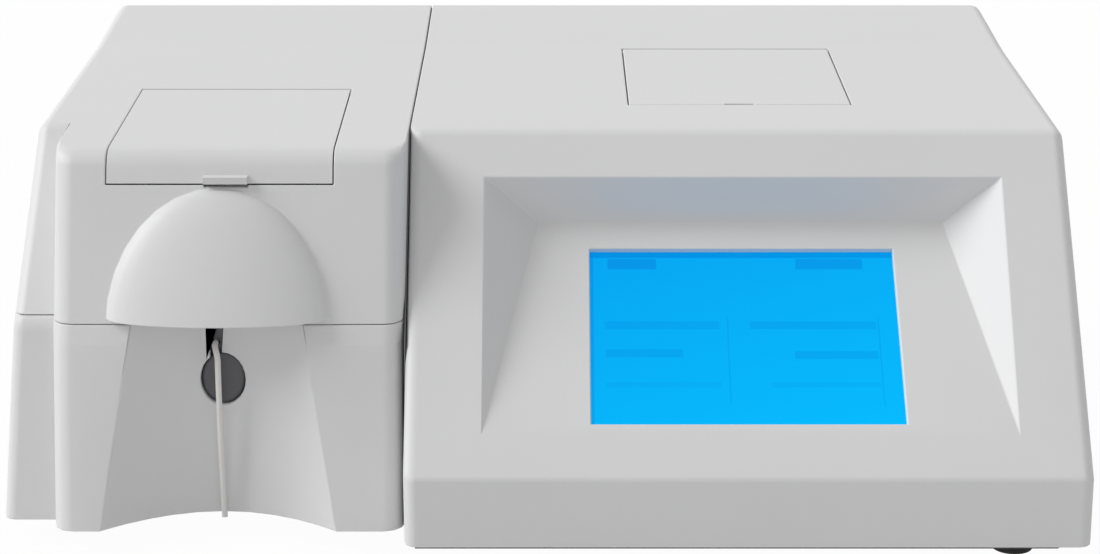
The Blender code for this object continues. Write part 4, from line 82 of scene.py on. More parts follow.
def surface(name, dark, light, rough, patch=40.0, grain=900.0, grain_height=0.00002, metallic=0.0,
            stretch=(1, 1, 1), rough_spread=0.06, **sockets):
    """A finish with slightly uneven colour and gloss and a fine grain, all in Object coordinates."""
    made = bpy.data.materials.new(name)
    made.use_nodes = True
    tree = made.node_tree
    shader = tree.nodes["Principled BSDF"]
    shader.inputs["Metallic"].default_value = metallic
    for socket, value in sockets.items():
        shader.inputs[socket.replace("_", " ")].default_value = value
    place = tree.nodes.new("ShaderNodeTexCoord")
    mapping = tree.nodes.new("ShaderNodeMapping")
    mapping.inputs["Scale"].default_value = stretch
    tree.links.new(place.outputs["Object"], mapping.inputs["Vector"])
    patches = tree.nodes.new("ShaderNodeTexNoise")
    patches.inputs["Scale"].default_value = patch
    patches.inputs["Detail"].default_value = 4
    tree.links.new(mapping.outputs["Vector"], patches.inputs["Vector"])
    tint = tree.nodes.new("ShaderNodeMix")
    tint.data_type = "RGBA"
    tint.inputs["A"].default_value = (*dark, 1)
    tint.inputs["B"].default_value = (*light, 1)
    tree.links.new(patches.outputs["Fac"], tint.inputs["Factor"])
    tree.links.new(tint.outputs["Result"], shader.inputs["Base Color"])
    gloss = tree.nodes.new("ShaderNodeMapRange")
    gloss.inputs["To Min"].default_value = rough - rough_spread
    gloss.inputs["To Max"].default_value = rough + rough_spread
    tree.links.new(patches.outputs["Fac"], gloss.inputs["Value"])
    tree.links.new(gloss.outputs["Result"], shader.inputs["Roughness"])
    grains = tree.nodes.new("ShaderNodeTexNoise")
    grains.inputs["Scale"].default_value = grain
    grains.inputs["Detail"].default_value = 2
    tree.links.new(mapping.outputs["Vector"], grains.inputs["Vector"])
    bump = tree.nodes.new("ShaderNodeBump")
    bump.inputs["Distance"].default_value = grain_height
    tree.links.new(grains.outputs["Fac"], bump.inputs["Height"])
    tree.links.new(bump.outputs["Normal"], shader.inputs["Normal"])
    return made


def tube(name, points, radius, finish, body="casing"):
    """A round smooth tube along a route."""
    curve = bpy.data.curves.new(name, "CURVE")
    curve.dimensions = "3D"
    curve.bevel_depth = radius
    curve.bevel_resolution = 3
    curve.use_fill_caps = True
    spline = curve.splines.new("POLY")
    spline.points.add(len(points) - 1)
    for point, place in zip(spline.points, points):
        point.co = (*place, 1)
    spline.use_smooth = True
    curve.materials.append(finish)
    piece = bpy.data.objects.new(name, curve)
    bpy.context.scene.collection.objects.link(piece)
    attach(piece, body)
    return piece


silicone = surface("milky_silicone", (0.72, 0.72, 0.70), (0.80, 0.80, 0.78), 0.35, grain_height=0.000005,
                   Subsurface_Weight=0.25, Subsurface_Scale=0.002)
start = Vector(SIPPER_START)
route = [start]
for step in range(SIPPER_STEPS + 1):
    share = step / SIPPER_STEPS
    turn = (math.pi / 2 - SIPPER_LEAN) * share
    route.append(start + Vector((SIPPER_SIDE * share * share * (3 - 2 * share),
                                 -SIPPER_STRAIGHT - SIPPER_BEND * math.sin(turn),
                                 -SIPPER_BEND * (1 - math.cos(turn)))))
bend_end = route[-1]
drop = bend_end.z - SIPPER_END_HEIGHT
for step in range(1, SIPPER_STEPS + 1):
    share = step / SIPPER_STEPS
    route.append(bend_end + Vector((SIPPER_DRIFT * share * share, -drop * share * math.tan(SIPPER_LEAN),
                                    -drop * share)))
sipper_tube = tube("sipper_tube_silicone", route, SIPPER_RADIUS, silicone)
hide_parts("sipper_tube")


# Right housing. A light grey injection-moulded shell with a fine spark-eroded grain. It carries the
# sloped panel with the sunken screen recess, whose window has a chamfered edge.
WINDOW_SPAN = 0.120
WINDOW_TALL = 0.0784
WINDOW_RISE = math.radians(40.54)
WINDOW_CORNER = Vector((0.0192, -0.13086, 0.05482))
WINDOW_UP = Vector((0, math.cos(WINDOW_RISE), math.sin(WINDOW_RISE)))
WINDOW_DEEP = Vector((0, math.sin(WINDOW_RISE), -math.cos(WINDOW_RISE)))
WINDOW_CHAMFER = 0.0014
ON_WINDOW = 0.00002
SEAM_SOFTENING = 0.0004
MERGE_GAP = 0.000003
FLAT_ANGLE = math.radians(0.4)

node_body = {}
for body_name, members in frame["record"]["behaviour"]["bodies"].items():
    for member in members:
        node_body[member] = body_name


def start_copy(node):
    """The node's solid with its vertices merged and its flat faces made whole."""
    build = bmesh.new()
    build.from_mesh(frame["nodes"][node].data)
    bmesh.ops.remove_doubles(build, verts=build.verts, dist=MERGE_GAP)
    bmesh.ops.dissolve_limit(build, angle_limit=FLAT_ANGLE, verts=build.verts, edges=build.edges)
    return build


def put(name, build, finish, body, sharp=32.0, edge=0.0):
    """Make a smooth piece of a bmesh, with its sharp edges kept or softened, on a body of the frame."""
    mesh = bpy.data.meshes.new(name)
    build.to_mesh(mesh)
    build.free()
    for layer in ("custom_normal", "sharp_edge"):
        if layer in mesh.attributes:
            mesh.attributes.remove(mesh.attributes[layer])
    mesh.shade_smooth()
    mesh.set_sharp_from_angle(angle=math.radians(sharp))
    mesh.materials.clear()
    mesh.materials.append(finish)
    piece = bpy.data.objects.new(name, mesh)
    bpy.context.scene.collection.objects.link(piece)
    if edge:
        soften = piece.modifiers.new("soft edges", "BEVEL")
        soften.width = edge
        soften.segments = 2
        soften.limit_method = "ANGLE"
        soften.angle_limit = math.radians(sharp)
        soften.harden_normals = True
        soften.use_clamp_overlap = False
    weights = piece.modifiers.new("even shading", "WEIGHTED_NORMAL")
    weights.keep_sharp = True
    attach(piece, body)
    return piece


def dress(node, finish, name=None, sharp=32.0, edge=0.0, build=None):
    """Stand a softened, finished copy of a node in the node's place."""
    piece = put(name or node + "_finished", build or start_copy(node), finish, node_body[node],
                sharp, edge)
    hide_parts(node)


housing_plastic = surface("housing_plastic", (0.700, 0.700, 0.703), (0.745, 0.745, 0.748), 0.46, patch=9.0,
                          grain=1300.0, grain_height=0.000012, Specular_IOR_Level=0.35)
build = start_copy("right_housing")
window_edges = []
for edge in build.edges:
    inside = True
    for vert in edge.verts:
        offset = vert.co - WINDOW_CORNER
        rise = offset.dot(WINDOW_UP)
        inside = inside and abs(offset.dot(WINDOW_DEEP)) < ON_WINDOW
        inside = inside and -ON_WINDOW < rise < WINDOW_TALL + ON_WINDOW
        inside = inside and -ON_WINDOW < offset.x < WINDOW_SPAN + ON_WINDOW
    if inside:
        window_edges.append(edge)
bmesh.ops.bevel(build, geom=window_edges, offset=WINDOW_CHAMFER, segments=3, profile=0.5, affect="EDGES",
                material=-1)
dress("right_housing", housing_plastic, edge=SEAM_SOFTENING, build=build)


# Hood. The upper left shell of the same moulded plastic, with the egg-shaped dome over the button
# and the opening for the flow-cell lid. It closes on the lower shell along a fine joint line.
dress("hood", housing_plastic, edge=SEAM_SOFTENING)


# Lower left housing. The lower shell with the wing, the module's front and the scoop that makes
# room for a sample cup under the sipper.
dress("lower_left_housing", housing_plastic, sharp=58.0, edge=SEAM_SOFTENING)


# Seam strip. A thin dark grey strip between the two halves of the housing, set back in the joint. Its
# grey is painted shade for the shadow line in the joint's groove. Its outline holds (depth behind the
# front lip, height over the casing's lower edge) pairs.
STRIP_MIDDLE = -0.0522
STRIP_THICK = 0.00048
LIP_DEPTH = -0.145
CASING_HEIGHT = 0.010
STRIP_OUTLINE = ((0.0166, 0.001), (0.0345, 0.0700), (0.0912, 0.1388), (0.2220, 0.1432),
                 (0.2870, 0.1488), (0.2870, 0.1390), (0.2220, 0.1340), (0.0960, 0.1300),
                 (0.0410, 0.0660), (0.0240, 0.001))

# The strip's dark grey is painted shade for the shadow line in the joint.
seam_shade = surface("painted_seam_shade", (0.13, 0.13, 0.13), (0.20, 0.20, 0.20), 0.9, patch=200.0, grain=1500.0,
               grain_height=0.00005)
build = bmesh.new()
outline = [build.verts.new((STRIP_MIDDLE - STRIP_THICK / 2, LIP_DEPTH + depth, CASING_HEIGHT + height))
           for depth, height in STRIP_OUTLINE]
grown = bmesh.ops.extrude_face_region(build, geom=[build.faces.new(outline)])
far_side = [item for item in grown["geom"] if isinstance(item, bmesh.types.BMVert)]
bmesh.ops.translate(build, vec=(STRIP_THICK, 0, 0), verts=far_side)
bmesh.ops.recalc_face_normals(build, faces=build.faces)
put("seam_strip", build, seam_shade, "casing")


# Flow-cell lid. A bent moulded plate that hangs on a steel pin at its rear edge and drops over the
# front with a small finger lip.
dress("cell_lid", housing_plastic)


# Printer lid. A flat moulded plate on a steel pin, with a thumb notch in its front edge.
dress("printer_lid", housing_plastic, edge=SEAM_SOFTENING)


# Screen. A glossy touch glass over a bright blue display that shows plain boxes and rules, all
# behind the window in the recess's floor. Darker bands along its top and left edges are painted shade.
SCREEN_BLUE = (0.0, 0.50, 1.0)
SCREEN_DEEP = (0.0, 0.27, 0.78)
RISE_FADE = 0.34
SIDE_FADE = 0.16
# Each row is (lowest share, highest share, left share, right share, strength).
SCREEN_ROW_SHARES = ((0.905, 0.965, 0.06, 0.22, 0.40), (0.905, 0.965, 0.68, 0.90, 0.40),
                     (0.555, 0.600, 0.05, 0.42, 0.22), (0.555, 0.600, 0.52, 0.93, 0.25),
                     (0.395, 0.440, 0.05, 0.30, 0.25), (0.385, 0.430, 0.66, 0.93, 0.30),
                     (0.225, 0.255, 0.05, 0.42, 0.14), (0.225, 0.255, 0.58, 0.93, 0.16),
                     (0.12, 0.62, 0.445, 0.450, 0.25), (0.12, 0.62, 0.935, 0.94, 0.25),
                     # The last two rows are painted shade: dark bands along the top and left edges of the
                     # window.
                     (0.972, 1.1, -0.1, 1.1, 0.45), (-0.1, 1.1, -0.1, 0.012, 0.35))


def add_node(tree, kind, operation=None, **inputs):
    """A node with some of its inputs set by number or by link."""
    node = tree.nodes.new(kind)
    if operation:
        node.operation = operation
    for slot, value in inputs.items():
        socket = node.inputs[int(slot[1:])]
        if hasattr(value, "links"):
            tree.links.new(value, socket)
        else:
            socket.default_value = value
    return node.outputs


def band(tree, value, low, high):
    """1 where a value lies between two limits."""
    above = add_node(tree, "ShaderNodeMath", "GREATER_THAN", i0=value, i1=low)[0]
    below = add_node(tree, "ShaderNodeMath", "LESS_THAN", i0=value, i1=high)[0]
    return add_node(tree, "ShaderNodeMath", "MULTIPLY", i0=above, i1=below)[0]


screen_picture = bpy.data.materials.new("lit_screen")
screen_picture.use_nodes = True
tree = screen_picture.node_tree
shader = tree.nodes["Principled BSDF"]
shader.inputs["Base Color"].default_value = (0.0, 0.01, 0.03, 1)
shader.inputs["Roughness"].default_value = 0.14
shader.inputs["Specular IOR Level"].default_value = 0.03
shader.inputs["Emission Strength"].default_value = 0.97
place = tree.nodes.new("ShaderNodeTexCoord").outputs["Object"]
from_corner = add_node(tree, "ShaderNodeVectorMath", "SUBTRACT", i0=place, i1=WINDOW_CORNER)[0]
across = add_node(tree, "ShaderNodeVectorMath", "DOT_PRODUCT", i0=from_corner,
                  i1=(1 / WINDOW_SPAN, 0, 0))[1]
up = add_node(tree, "ShaderNodeVectorMath", "DOT_PRODUCT", i0=from_corner, i1=WINDOW_UP / WINDOW_TALL)[1]
fade = add_node(tree, "ShaderNodeMath", "MULTIPLY", i0=up, i1=RISE_FADE)[0]
side_fade = add_node(tree, "ShaderNodeMath", "MULTIPLY_ADD", i0=across, i1=-SIDE_FADE, i2=SIDE_FADE)[0]
deep = add_node(tree, "ShaderNodeMath", "ADD", i0=fade, i1=side_fade)[0]
for low, high, left, right, strength in SCREEN_ROW_SHARES:
    boxed = add_node(tree, "ShaderNodeMath", "MULTIPLY", i0=band(tree, up, low, high),
                     i1=band(tree, across, left, right))[0]
    deep = add_node(tree, "ShaderNodeMath", "MULTIPLY_ADD", i0=boxed, i1=strength, i2=deep)[0]
blue = tree.nodes.new("ShaderNodeMix")
blue.data_type = "RGBA"
blue.inputs["A"].default_value = (*SCREEN_BLUE, 1)
blue.inputs["B"].default_value = (*SCREEN_DEEP, 1)
tree.links.new(deep, blue.inputs["Factor"])
tree.links.new(blue.outputs["Result"], shader.inputs["Emission Color"])
dress("touch_glass", screen_picture, "touch_glass_lit")


# Sipper button. A dark grey oval key in the keyhole, with the tube's guide in the slot above it.
# Behind it sit a steel coil spring and a small switch on its bracket.
button_plastic = surface("button_plastic", (0.075, 0.075, 0.085), (0.10, 0.10, 0.11), 0.42,
                         grain_height=0.00001)
steel = surface("bright_steel", (0.52, 0.52, 0.53), (0.66, 0.66, 0.67), 0.28, metallic=1.0,
                grain=420.0, grain_height=0.000006, stretch=(1, 12, 1), rough_spread=0.08)
dark_plastic = surface("dark_plastic", (0.050, 0.050, 0.058), (0.085, 0.085, 0.095), 0.5, patch=25.0,
                       grain=1100.0, grain_height=0.000015)
dress("sipper_button", button_plastic, edge=0.0003)
dress("tube_guide", button_plastic, edge=0.0002)
dress("button_spring", steel, sharp=80.0)
dress("button_switch", dark_plastic, edge=0.0004)


# Base tray and rear panel. Folded sheet steel in black powder coat with a fine orange peel, held by
# pan-head screws with a cross recess.
SCREW_HEAD = 0.0030
SCREW_TALL = 0.0016
SCREW_TOP_SHARE = 0.72
REAR_FACE = 0.143
TRAY_FACE = 0.0080
LOW_ROW = 0.0158
LOW_SCREWS = (-0.186, -0.090, 0.0, 0.090, 0.190)
HIGH_ROW = 0.1415
HIGH_SCREWS = (-0.184, -0.075, 0.005, 0.095, 0.190)
FAN_SCREWS = ((-0.1452, 0.074), (-0.1452, 0.116), (-0.1032, 0.074), (-0.1032, 0.116))
TRAY_SCREWS = ((-0.150, -0.080), (0.0, -0.125), (0.140, -0.125), (-0.150, 0.120), (0.0, 0.120),
               (0.140, 0.120))

powder_coat = surface("powder_coat", (0.040, 0.040, 0.042), (0.062, 0.062, 0.065), 0.52, patch=30.0,
                      grain=520.0, grain_height=0.00006, metallic=0.1)
dress("base_tray", powder_coat, edge=0.0003)
dress("rear_panel", powder_coat, edge=0.0002)


def join(build, part):
    """Move a bmesh's form into another bmesh."""
    mesh = bpy.data.meshes.new("joined")
    part.to_mesh(mesh)
    part.free()
    build.from_mesh(mesh)
    bpy.data.meshes.remove(mesh)


def add_screw(build, place, outward):
    """Add a pan-head screw with a cross recess, its head standing on a place."""
    head = bmesh.new()
    bmesh.ops.create_cone(head, cap_ends=True, segments=24, radius1=SCREW_HEAD,
                          radius2=SCREW_HEAD * SCREW_TOP_SHARE, depth=SCREW_TALL)
    top = [face for face in head.faces if face.normal.z > 0.9]
    bmesh.ops.inset_individual(head, faces=top, thickness=SCREW_HEAD * 0.12)
    rim = [edge for edge in head.edges if abs(edge.calc_face_angle(0)) > 0.5 and edge.verts[0].co.z > 0]
    bmesh.ops.bevel(head, geom=rim, offset=SCREW_TALL * 0.3, segments=3, profile=0.5, affect="EDGES",
                    material=-1)
    for wide, deep in ((1, 0.24), (0.24, 1)):
        bar = Matrix.Diagonal((SCREW_HEAD * wide, SCREW_HEAD * deep, SCREW_TALL * 0.34, 1))
        bmesh.ops.create_cube(head, size=1.0, matrix=Matrix.Translation((0, 0, SCREW_TALL * 0.44)) @ bar)
    turn = Vector(outward).to_track_quat("Z", "Y").to_matrix().to_4x4()
    middle = Vector(place) + Vector(outward) * SCREW_TALL / 2
    bmesh.ops.transform(head, matrix=Matrix.Translation(middle) @ turn, verts=head.verts)
    join(build, head)


screws = bmesh.new()
for x in LOW_SCREWS:
    add_screw(screws, (x, REAR_FACE, LOW_ROW), (0, 1, 0))
for x in HIGH_SCREWS:
    add_screw(screws, (x, REAR_FACE, HIGH_ROW), (0, 1, 0))
for x, z in FAN_SCREWS:
    add_screw(screws, (x, REAR_FACE, z), (0, 1, 0))
put("rear_screws", screws, steel, "casing")
screws = bmesh.new()
for x, y in TRAY_SCREWS:
    add_screw(screws, (x, y, TRAY_FACE), (0, 0, -1))
put("tray_screws", screws, steel, "casing")


# Feet. Turned black rubber feet with a grip ring and a recess in the middle for the screw that
# holds each one.
rubber = surface("black_rubber", (0.022, 0.022, 0.022), (0.040, 0.040, 0.040), 0.8, patch=60.0,
                 grain=900.0, grain_height=0.00004)
FOOT_PROFILE = ((0.0, 0.0022), (0.0030, 0.0022), (0.0036, 0.0), (0.0058, 0.0), (0.0062, 0.0005),
                (0.0066, 0.0), (0.0080, 0.0), (0.0083, 0.0006), (0.0088, 0.0062), (0.0095, 0.0068),
                (0.0095, 0.0077), (0.0, 0.0077))


def spin_profile(profile, centre, axis="Z", steps=36):
    """A turned form from (radius, distance) pairs about an axis."""
    build = bmesh.new()
    line = [build.verts.new((radius, 0, along)) for radius, along in profile]
    edges = [build.edges.new(pair) for pair in zip(line, line[1:])]
    bmesh.ops.spin(build, geom=line + edges, cent=(0, 0, 0), axis=(0, 0, 1), angle=math.tau, steps=steps,
                   use_merge=True)
    bmesh.ops.remove_doubles(build, verts=build.verts, dist=0.000002)
    bmesh.ops.recalc_face_normals(build, faces=build.faces)
    turn = {"X": Matrix.Rotation(math.pi / 2, 4, "Y"), "Y": Matrix.Rotation(-math.pi / 2, 4, "X"),
            "Z": Matrix.Identity(4)}[axis]
    bmesh.ops.transform(build, matrix=Matrix.Translation(centre) @ turn, verts=build.verts)
    return build


for corner in ("foot_front_left", "foot_front_right", "foot_rear_left", "foot_rear_right"):
    low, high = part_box(corner)
    middle = ((low[0] + high[0]) / 2, (low[1] + high[1]) / 2, 0)
    foot = put(corner + "_rubber", spin_profile(FOOT_PROFILE, middle), rubber, "casing")
    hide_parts(corner)


# Rear fittings. Mains inlet with its three blades, fuse holder, rocker switch with its on and off
# marks, two data sockets and the waste outlet, all in the rear panel.
INLET_MIDDLE = (0.1708, 0.0880)
BLADE_PITCH = 0.007
BLADE_SHIFT = 0.002
BLADE_WIDE = 0.0022
BLADE_TALL = 0.0042
BLADE_ENDS = (0.1302, 0.1409)
SERIAL_INSERT = ((0.0578, 0.1390, 0.0209), (0.0798, 0.1425, 0.0270))
USB_TONGUE = ((0.0180, 0.1390, 0.0208), (0.0276, 0.1440, 0.0222))
SERIAL_MIDDLE = 0.0688
PIN_ROWS = ((0.0252, 5), (0.0226, 4))
PIN_PITCH = 0.0028
PIN_HALF = 0.0005
PIN_ENDS = (0.1420, 0.1440)
ROCKER_PLACE = (0.1148, 0.14055, 0.088)
ROCKER_REST = math.radians(9.0)
ON_MARK = ((-0.0004, 0.00215, 0.0030), (0.0004, 0.00235, 0.0070))
OFF_MARK = ((0.0014, 0.0), (0.0021, 0.0), (0.0021, 0.0002), (0.0014, 0.0002), (0.0014, 0.0))
OFF_PLACE = (0, 0.00215, -0.0050)

for node in ("mains_inlet", "fuse_holder", "switch_frame", "power_rocker", "waste_fitting"):
    dress(node, dark_plastic, edge=0.0004)
for node in ("serial_port", "usb_port"):
    dress(node, steel, edge=0.0003)


def add_block(build, low, high, edge=0.0002):
    """Add a block between two corners with softened edges."""
    part = bmesh.new()
    size = Vector(high) - Vector(low)
    middle = (Vector(low) + Vector(high)) / 2
    bmesh.ops.create_cube(part, size=1.0, matrix=Matrix.Translation(middle) @ Matrix.Diagonal((*size, 1)))
    bmesh.ops.bevel(part, geom=part.edges, offset=edge, segments=2, profile=0.5, affect="EDGES",
                    material=-1)
    join(build, part)


blades = bmesh.new()
for side in (-1, 0, 1):
    x = INLET_MIDDLE[0] + side * BLADE_PITCH
    z = INLET_MIDDLE[1] + (BLADE_SHIFT if side == 0 else -BLADE_SHIFT)
    add_block(blades, (x - BLADE_WIDE / 2, BLADE_ENDS[0], z - BLADE_TALL / 2),
              (x + BLADE_WIDE / 2, BLADE_ENDS[1], z + BLADE_TALL / 2), 0.0005)
put("inlet_blades", blades, steel, "casing")
insert = bmesh.new()
add_block(insert, *SERIAL_INSERT, 0.0004)
add_block(insert, *USB_TONGUE)
put("socket_inserts", insert, dark_plastic, "casing")
pins = bmesh.new()
for row, count in PIN_ROWS:
    for index in range(count):
        x = SERIAL_MIDDLE + (index - (count - 1) / 2) * PIN_PITCH
        add_block(pins, (x - PIN_HALF, PIN_ENDS[0], row - PIN_HALF),
                  (x + PIN_HALF, PIN_ENDS[1], row + PIN_HALF), 0.0003)
put("serial_pins", pins, steel, "casing")

mark_white = surface("white_marking", (0.78, 0.78, 0.76), (0.86, 0.86, 0.84), 0.5)
marks = bmesh.new()
add_block(marks, *ON_MARK, 0.00005)
join(marks, spin_profile(OFF_MARK, OFF_PLACE, "Y", 28))
bmesh.ops.transform(marks, matrix=Matrix.Translation(ROCKER_PLACE) @ Matrix.Rotation(ROCKER_REST, 4, "X"),
                    verts=marks.verts)
put("rocker_marks", marks, mark_white, "rocker")


# Fan. A moulded axial fan whose seven slanted blades pull air past the lamp and out of the grille.
dress("fan_frame", dark_plastic, edge=0.0003)
dress("fan_rotor", dark_plastic, edge=0.0003)


# Flow-cell bay. A dark frame that the lid closes on, over the aluminium cell block with its glass
# flow cell, the white cooler under it and the finned heat sink.
aluminium = surface("satin_aluminium", (0.62, 0.62, 0.64), (0.74, 0.74, 0.76), 0.36, metallic=1.0,
                    grain=300.0, grain_height=0.000008, stretch=(10, 1, 1))
ceramic = surface("white_ceramic", (0.80, 0.80, 0.78), (0.90, 0.90, 0.88), 0.6, grain_height=0.00001)
clear_glass = surface("clear_glass", (0.90, 0.95, 0.95), (0.95, 0.99, 0.99), 0.03, rough_spread=0.02,
                      grain_height=0.000001, Transmission_Weight=1.0, IOR=1.5)
board_green = surface("circuit_board", (0.010, 0.13, 0.035), (0.025, 0.24, 0.075), 0.42, patch=220.0,
                      grain=160.0, grain_height=0.00003, stretch=(1, 4, 1))
for node, finish in (("cell_bay_frame", dark_plastic), ("cell_block", aluminium), ("heat_sink", aluminium),
                     ("optical_bench", aluminium), ("flow_cell", clear_glass), ("peltier_cooler", ceramic),
                     ("detector_board", board_green), ("cell_lid_pin", steel), ("printer_lid_pin", steel)):
    dress(node, finish, edge=0.0003 if node != "cell_lid_pin" else 0.0)


# Light path. A black filter wheel with eight tinted filters, its motor, the lens tube and the open
# sheet-steel house of the halogen lamp, a glass bulb with a coiled filament on a ceramic base.
FILTER_TINTS = ((0.30, 0.10, 0.70), (0.10, 0.25, 0.85), (0.05, 0.60, 0.75), (0.10, 0.70, 0.25),
                (0.65, 0.75, 0.10), (0.85, 0.50, 0.08), (0.85, 0.22, 0.08), (0.60, 0.05, 0.08))
WHEEL_MIDDLE = Vector((-0.1242, 0.0062, 0.078))
FILTER_CIRCLE = 0.017
FILTER_PROFILE = ((0, 0), (0.0039, 0), (0.0043, 0.0004), (0.0043, 0.0018), (0.0039, 0.0022), (0, 0.0022))
LAMP_FOOT = Vector((-0.1242, 0.088, 0.0526))
BASE_PROFILE = ((0, 0), (0.0092, 0), (0.0100, 0.0008), (0.0100, 0.0060), (0.0085, 0.0070),
                (0.0085, 0.0240), (0.0100, 0.0250), (0.0095, 0.0260), (0, 0.0260))
BULB_PROFILE = ((0, 0.0260), (0.0030, 0.0260), (0.0036, 0.0285), (0.0056, 0.0315), (0.0060, 0.0340),
                (0.0060, 0.0450), (0.0053, 0.0480), (0.0035, 0.0504), (0.0012, 0.0516), (0, 0.0520))
COIL_HALF = 0.0018
COIL_RADIUS = 0.0009
COIL_STEPS = 60
COIL_TURN = 0.9
COIL_MIDDLE = Vector((0, 0, 0.040))
COIL_LOW = Vector((0, 0, 0.0262))
WIRE_RADIUS = 0.00018

for node, finish in (("filter_wheel", dark_plastic), ("filter_motor", steel),
                     ("lens_tube", dark_plastic), ("lamp_house", steel)):
    dress(node, finish, edge=0.0003)
for index, tint in enumerate(FILTER_TINTS):
    angle = math.tau * index / len(FILTER_TINTS)
    around = Vector((math.sin(angle), 0, math.cos(angle))) * FILTER_CIRCLE
    lighter = tuple(min(1.0, channel * 1.15) for channel in tint)
    tinted = surface("filter_glass_%d" % (index + 1), tint, lighter, 0.06, rough_spread=0.03,
                     grain_height=0.000001, Transmission_Weight=0.6, IOR=1.5)
    put("filter_%d" % (index + 1), spin_profile(FILTER_PROFILE, WHEEL_MIDDLE + around, "Y", 28), tinted,
        "filter_wheel")
put("lamp_base", spin_profile(BASE_PROFILE, LAMP_FOOT), ceramic, "casing")
lamp_bulb = put("lamp_bulb", spin_profile(BULB_PROFILE, LAMP_FOOT), clear_glass, "casing",
                sharp=60.0)
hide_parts("halogen_lamp")
lead = Vector((COIL_HALF, 0, 0))
wire = [LAMP_FOOT + COIL_LOW - lead]
for step in range(COIL_STEPS + 1):
    turn = step * COIL_TURN
    wire.append(LAMP_FOOT + COIL_MIDDLE + lead * (step / COIL_STEPS - 0.5) * 2
                + Vector((0, math.cos(turn), math.sin(turn))) * COIL_RADIUS)
wire.append(LAMP_FOOT + COIL_LOW + lead)
tube("lamp_filament", wire, WIRE_RADIUS, steel)


# Pump. A peristaltic pump with an aluminium roller head and a round motor; the soft tube lies in its
# track and runs on to the waste outlet.
for node, finish in (("pump_head", dark_plastic), ("pump_rotor", aluminium), ("pump_motor", steel)):
    dress(node, finish, edge=0.0004)


# Printer. A thermal printer in a dark tub: paper roll on its spindle, print head, rubber roller with
# its gear, and the motor with its pinion.
paper = surface("thermal_paper", (0.84, 0.84, 0.82), (0.91, 0.91, 0.89), 0.85, patch=300.0,
                grain=2500.0, grain_height=0.00002, stretch=(0.02, 1, 1))
for node, finish in (("printer_tub", dark_plastic), ("paper_spindle", dark_plastic), ("paper_roll", paper),
                     ("print_head", aluminium), ("platen_roller", rubber), ("platen_gear", dark_plastic),
                     ("motor_pinion", dark_plastic), ("printer_motor", steel)):
    dress(node, finish, edge=0.0002)


# Electronics. The display module with its board, the power supply, and the main board with its
# round aluminium capacitors and white plugs.
BOARD_TOP = 0.0174
CAN_PLACES = ((-0.030, 0.020), (-0.018, 0.020), (-0.030, 0.036), (0.100, 0.010), (0.112, 0.010),
              (0.100, 0.028))
CAN_PROFILE = ((0, 0), (0.0040, 0), (0.0040, 0.0010), (0.0037, 0.0014), (0.0040, 0.0018),
               (0.0040, 0.0100), (0.0036, 0.0105), (0, 0.0103))
PLUG_HALF = 0.004
PLUG_TALL = 0.008
# Each plug is (x, y, length).
PLUGS = ((0.020, 0.118, 0.030), (-0.034, 0.080, 0.008), (-0.034, 0.100, 0.008), (0.108, 0.070, 0.008),
         (0.108, 0.095, 0.008), (0.050, -0.012, 0.036))

for node, finish in (("display_module", aluminium), ("display_board", board_green),
                     ("mainboard", board_green), ("power_supply", aluminium)):
    dress(node, finish, edge=0.0003)
cans = bmesh.new()
for x, y in CAN_PLACES:
    join(cans, spin_profile(CAN_PROFILE, (x, y, BOARD_TOP)))
put("capacitors", cans, aluminium, "casing")
plugs = bmesh.new()
for x, y, length in PLUGS:
    add_block(plugs, (x - length / 2, y - PLUG_HALF, BOARD_TOP),
              (x + length / 2, y + PLUG_HALF, BOARD_TOP + PLUG_TALL), 0.0006)
put("board_plugs", plugs, ceramic, "casing")


# Inner tubes. Milky silicone tubes from the guide to the flow cell, and from the cell through the
# pump to the waste outlet.
def soft_route(points, per_span=4):
    """A smooth route through points."""
    places = [Vector(point) for point in points]
    ends = [2 * places[0] - places[1], *places, 2 * places[-1] - places[-2]]
    smooth = []
    for index in range(1, len(ends) - 2):
        before, here, after, beyond = ends[index - 1:index + 3]
        for step in range(per_span):
            t = step / per_span
            square = (2 * before - 5 * here + 4 * after - beyond) * t ** 2
            cube = (3 * here - before - 3 * after + beyond) * t ** 3
            smooth.append(0.5 * (2 * here + (after - before) * t + square + cube))
    return smooth + [places[-1]]


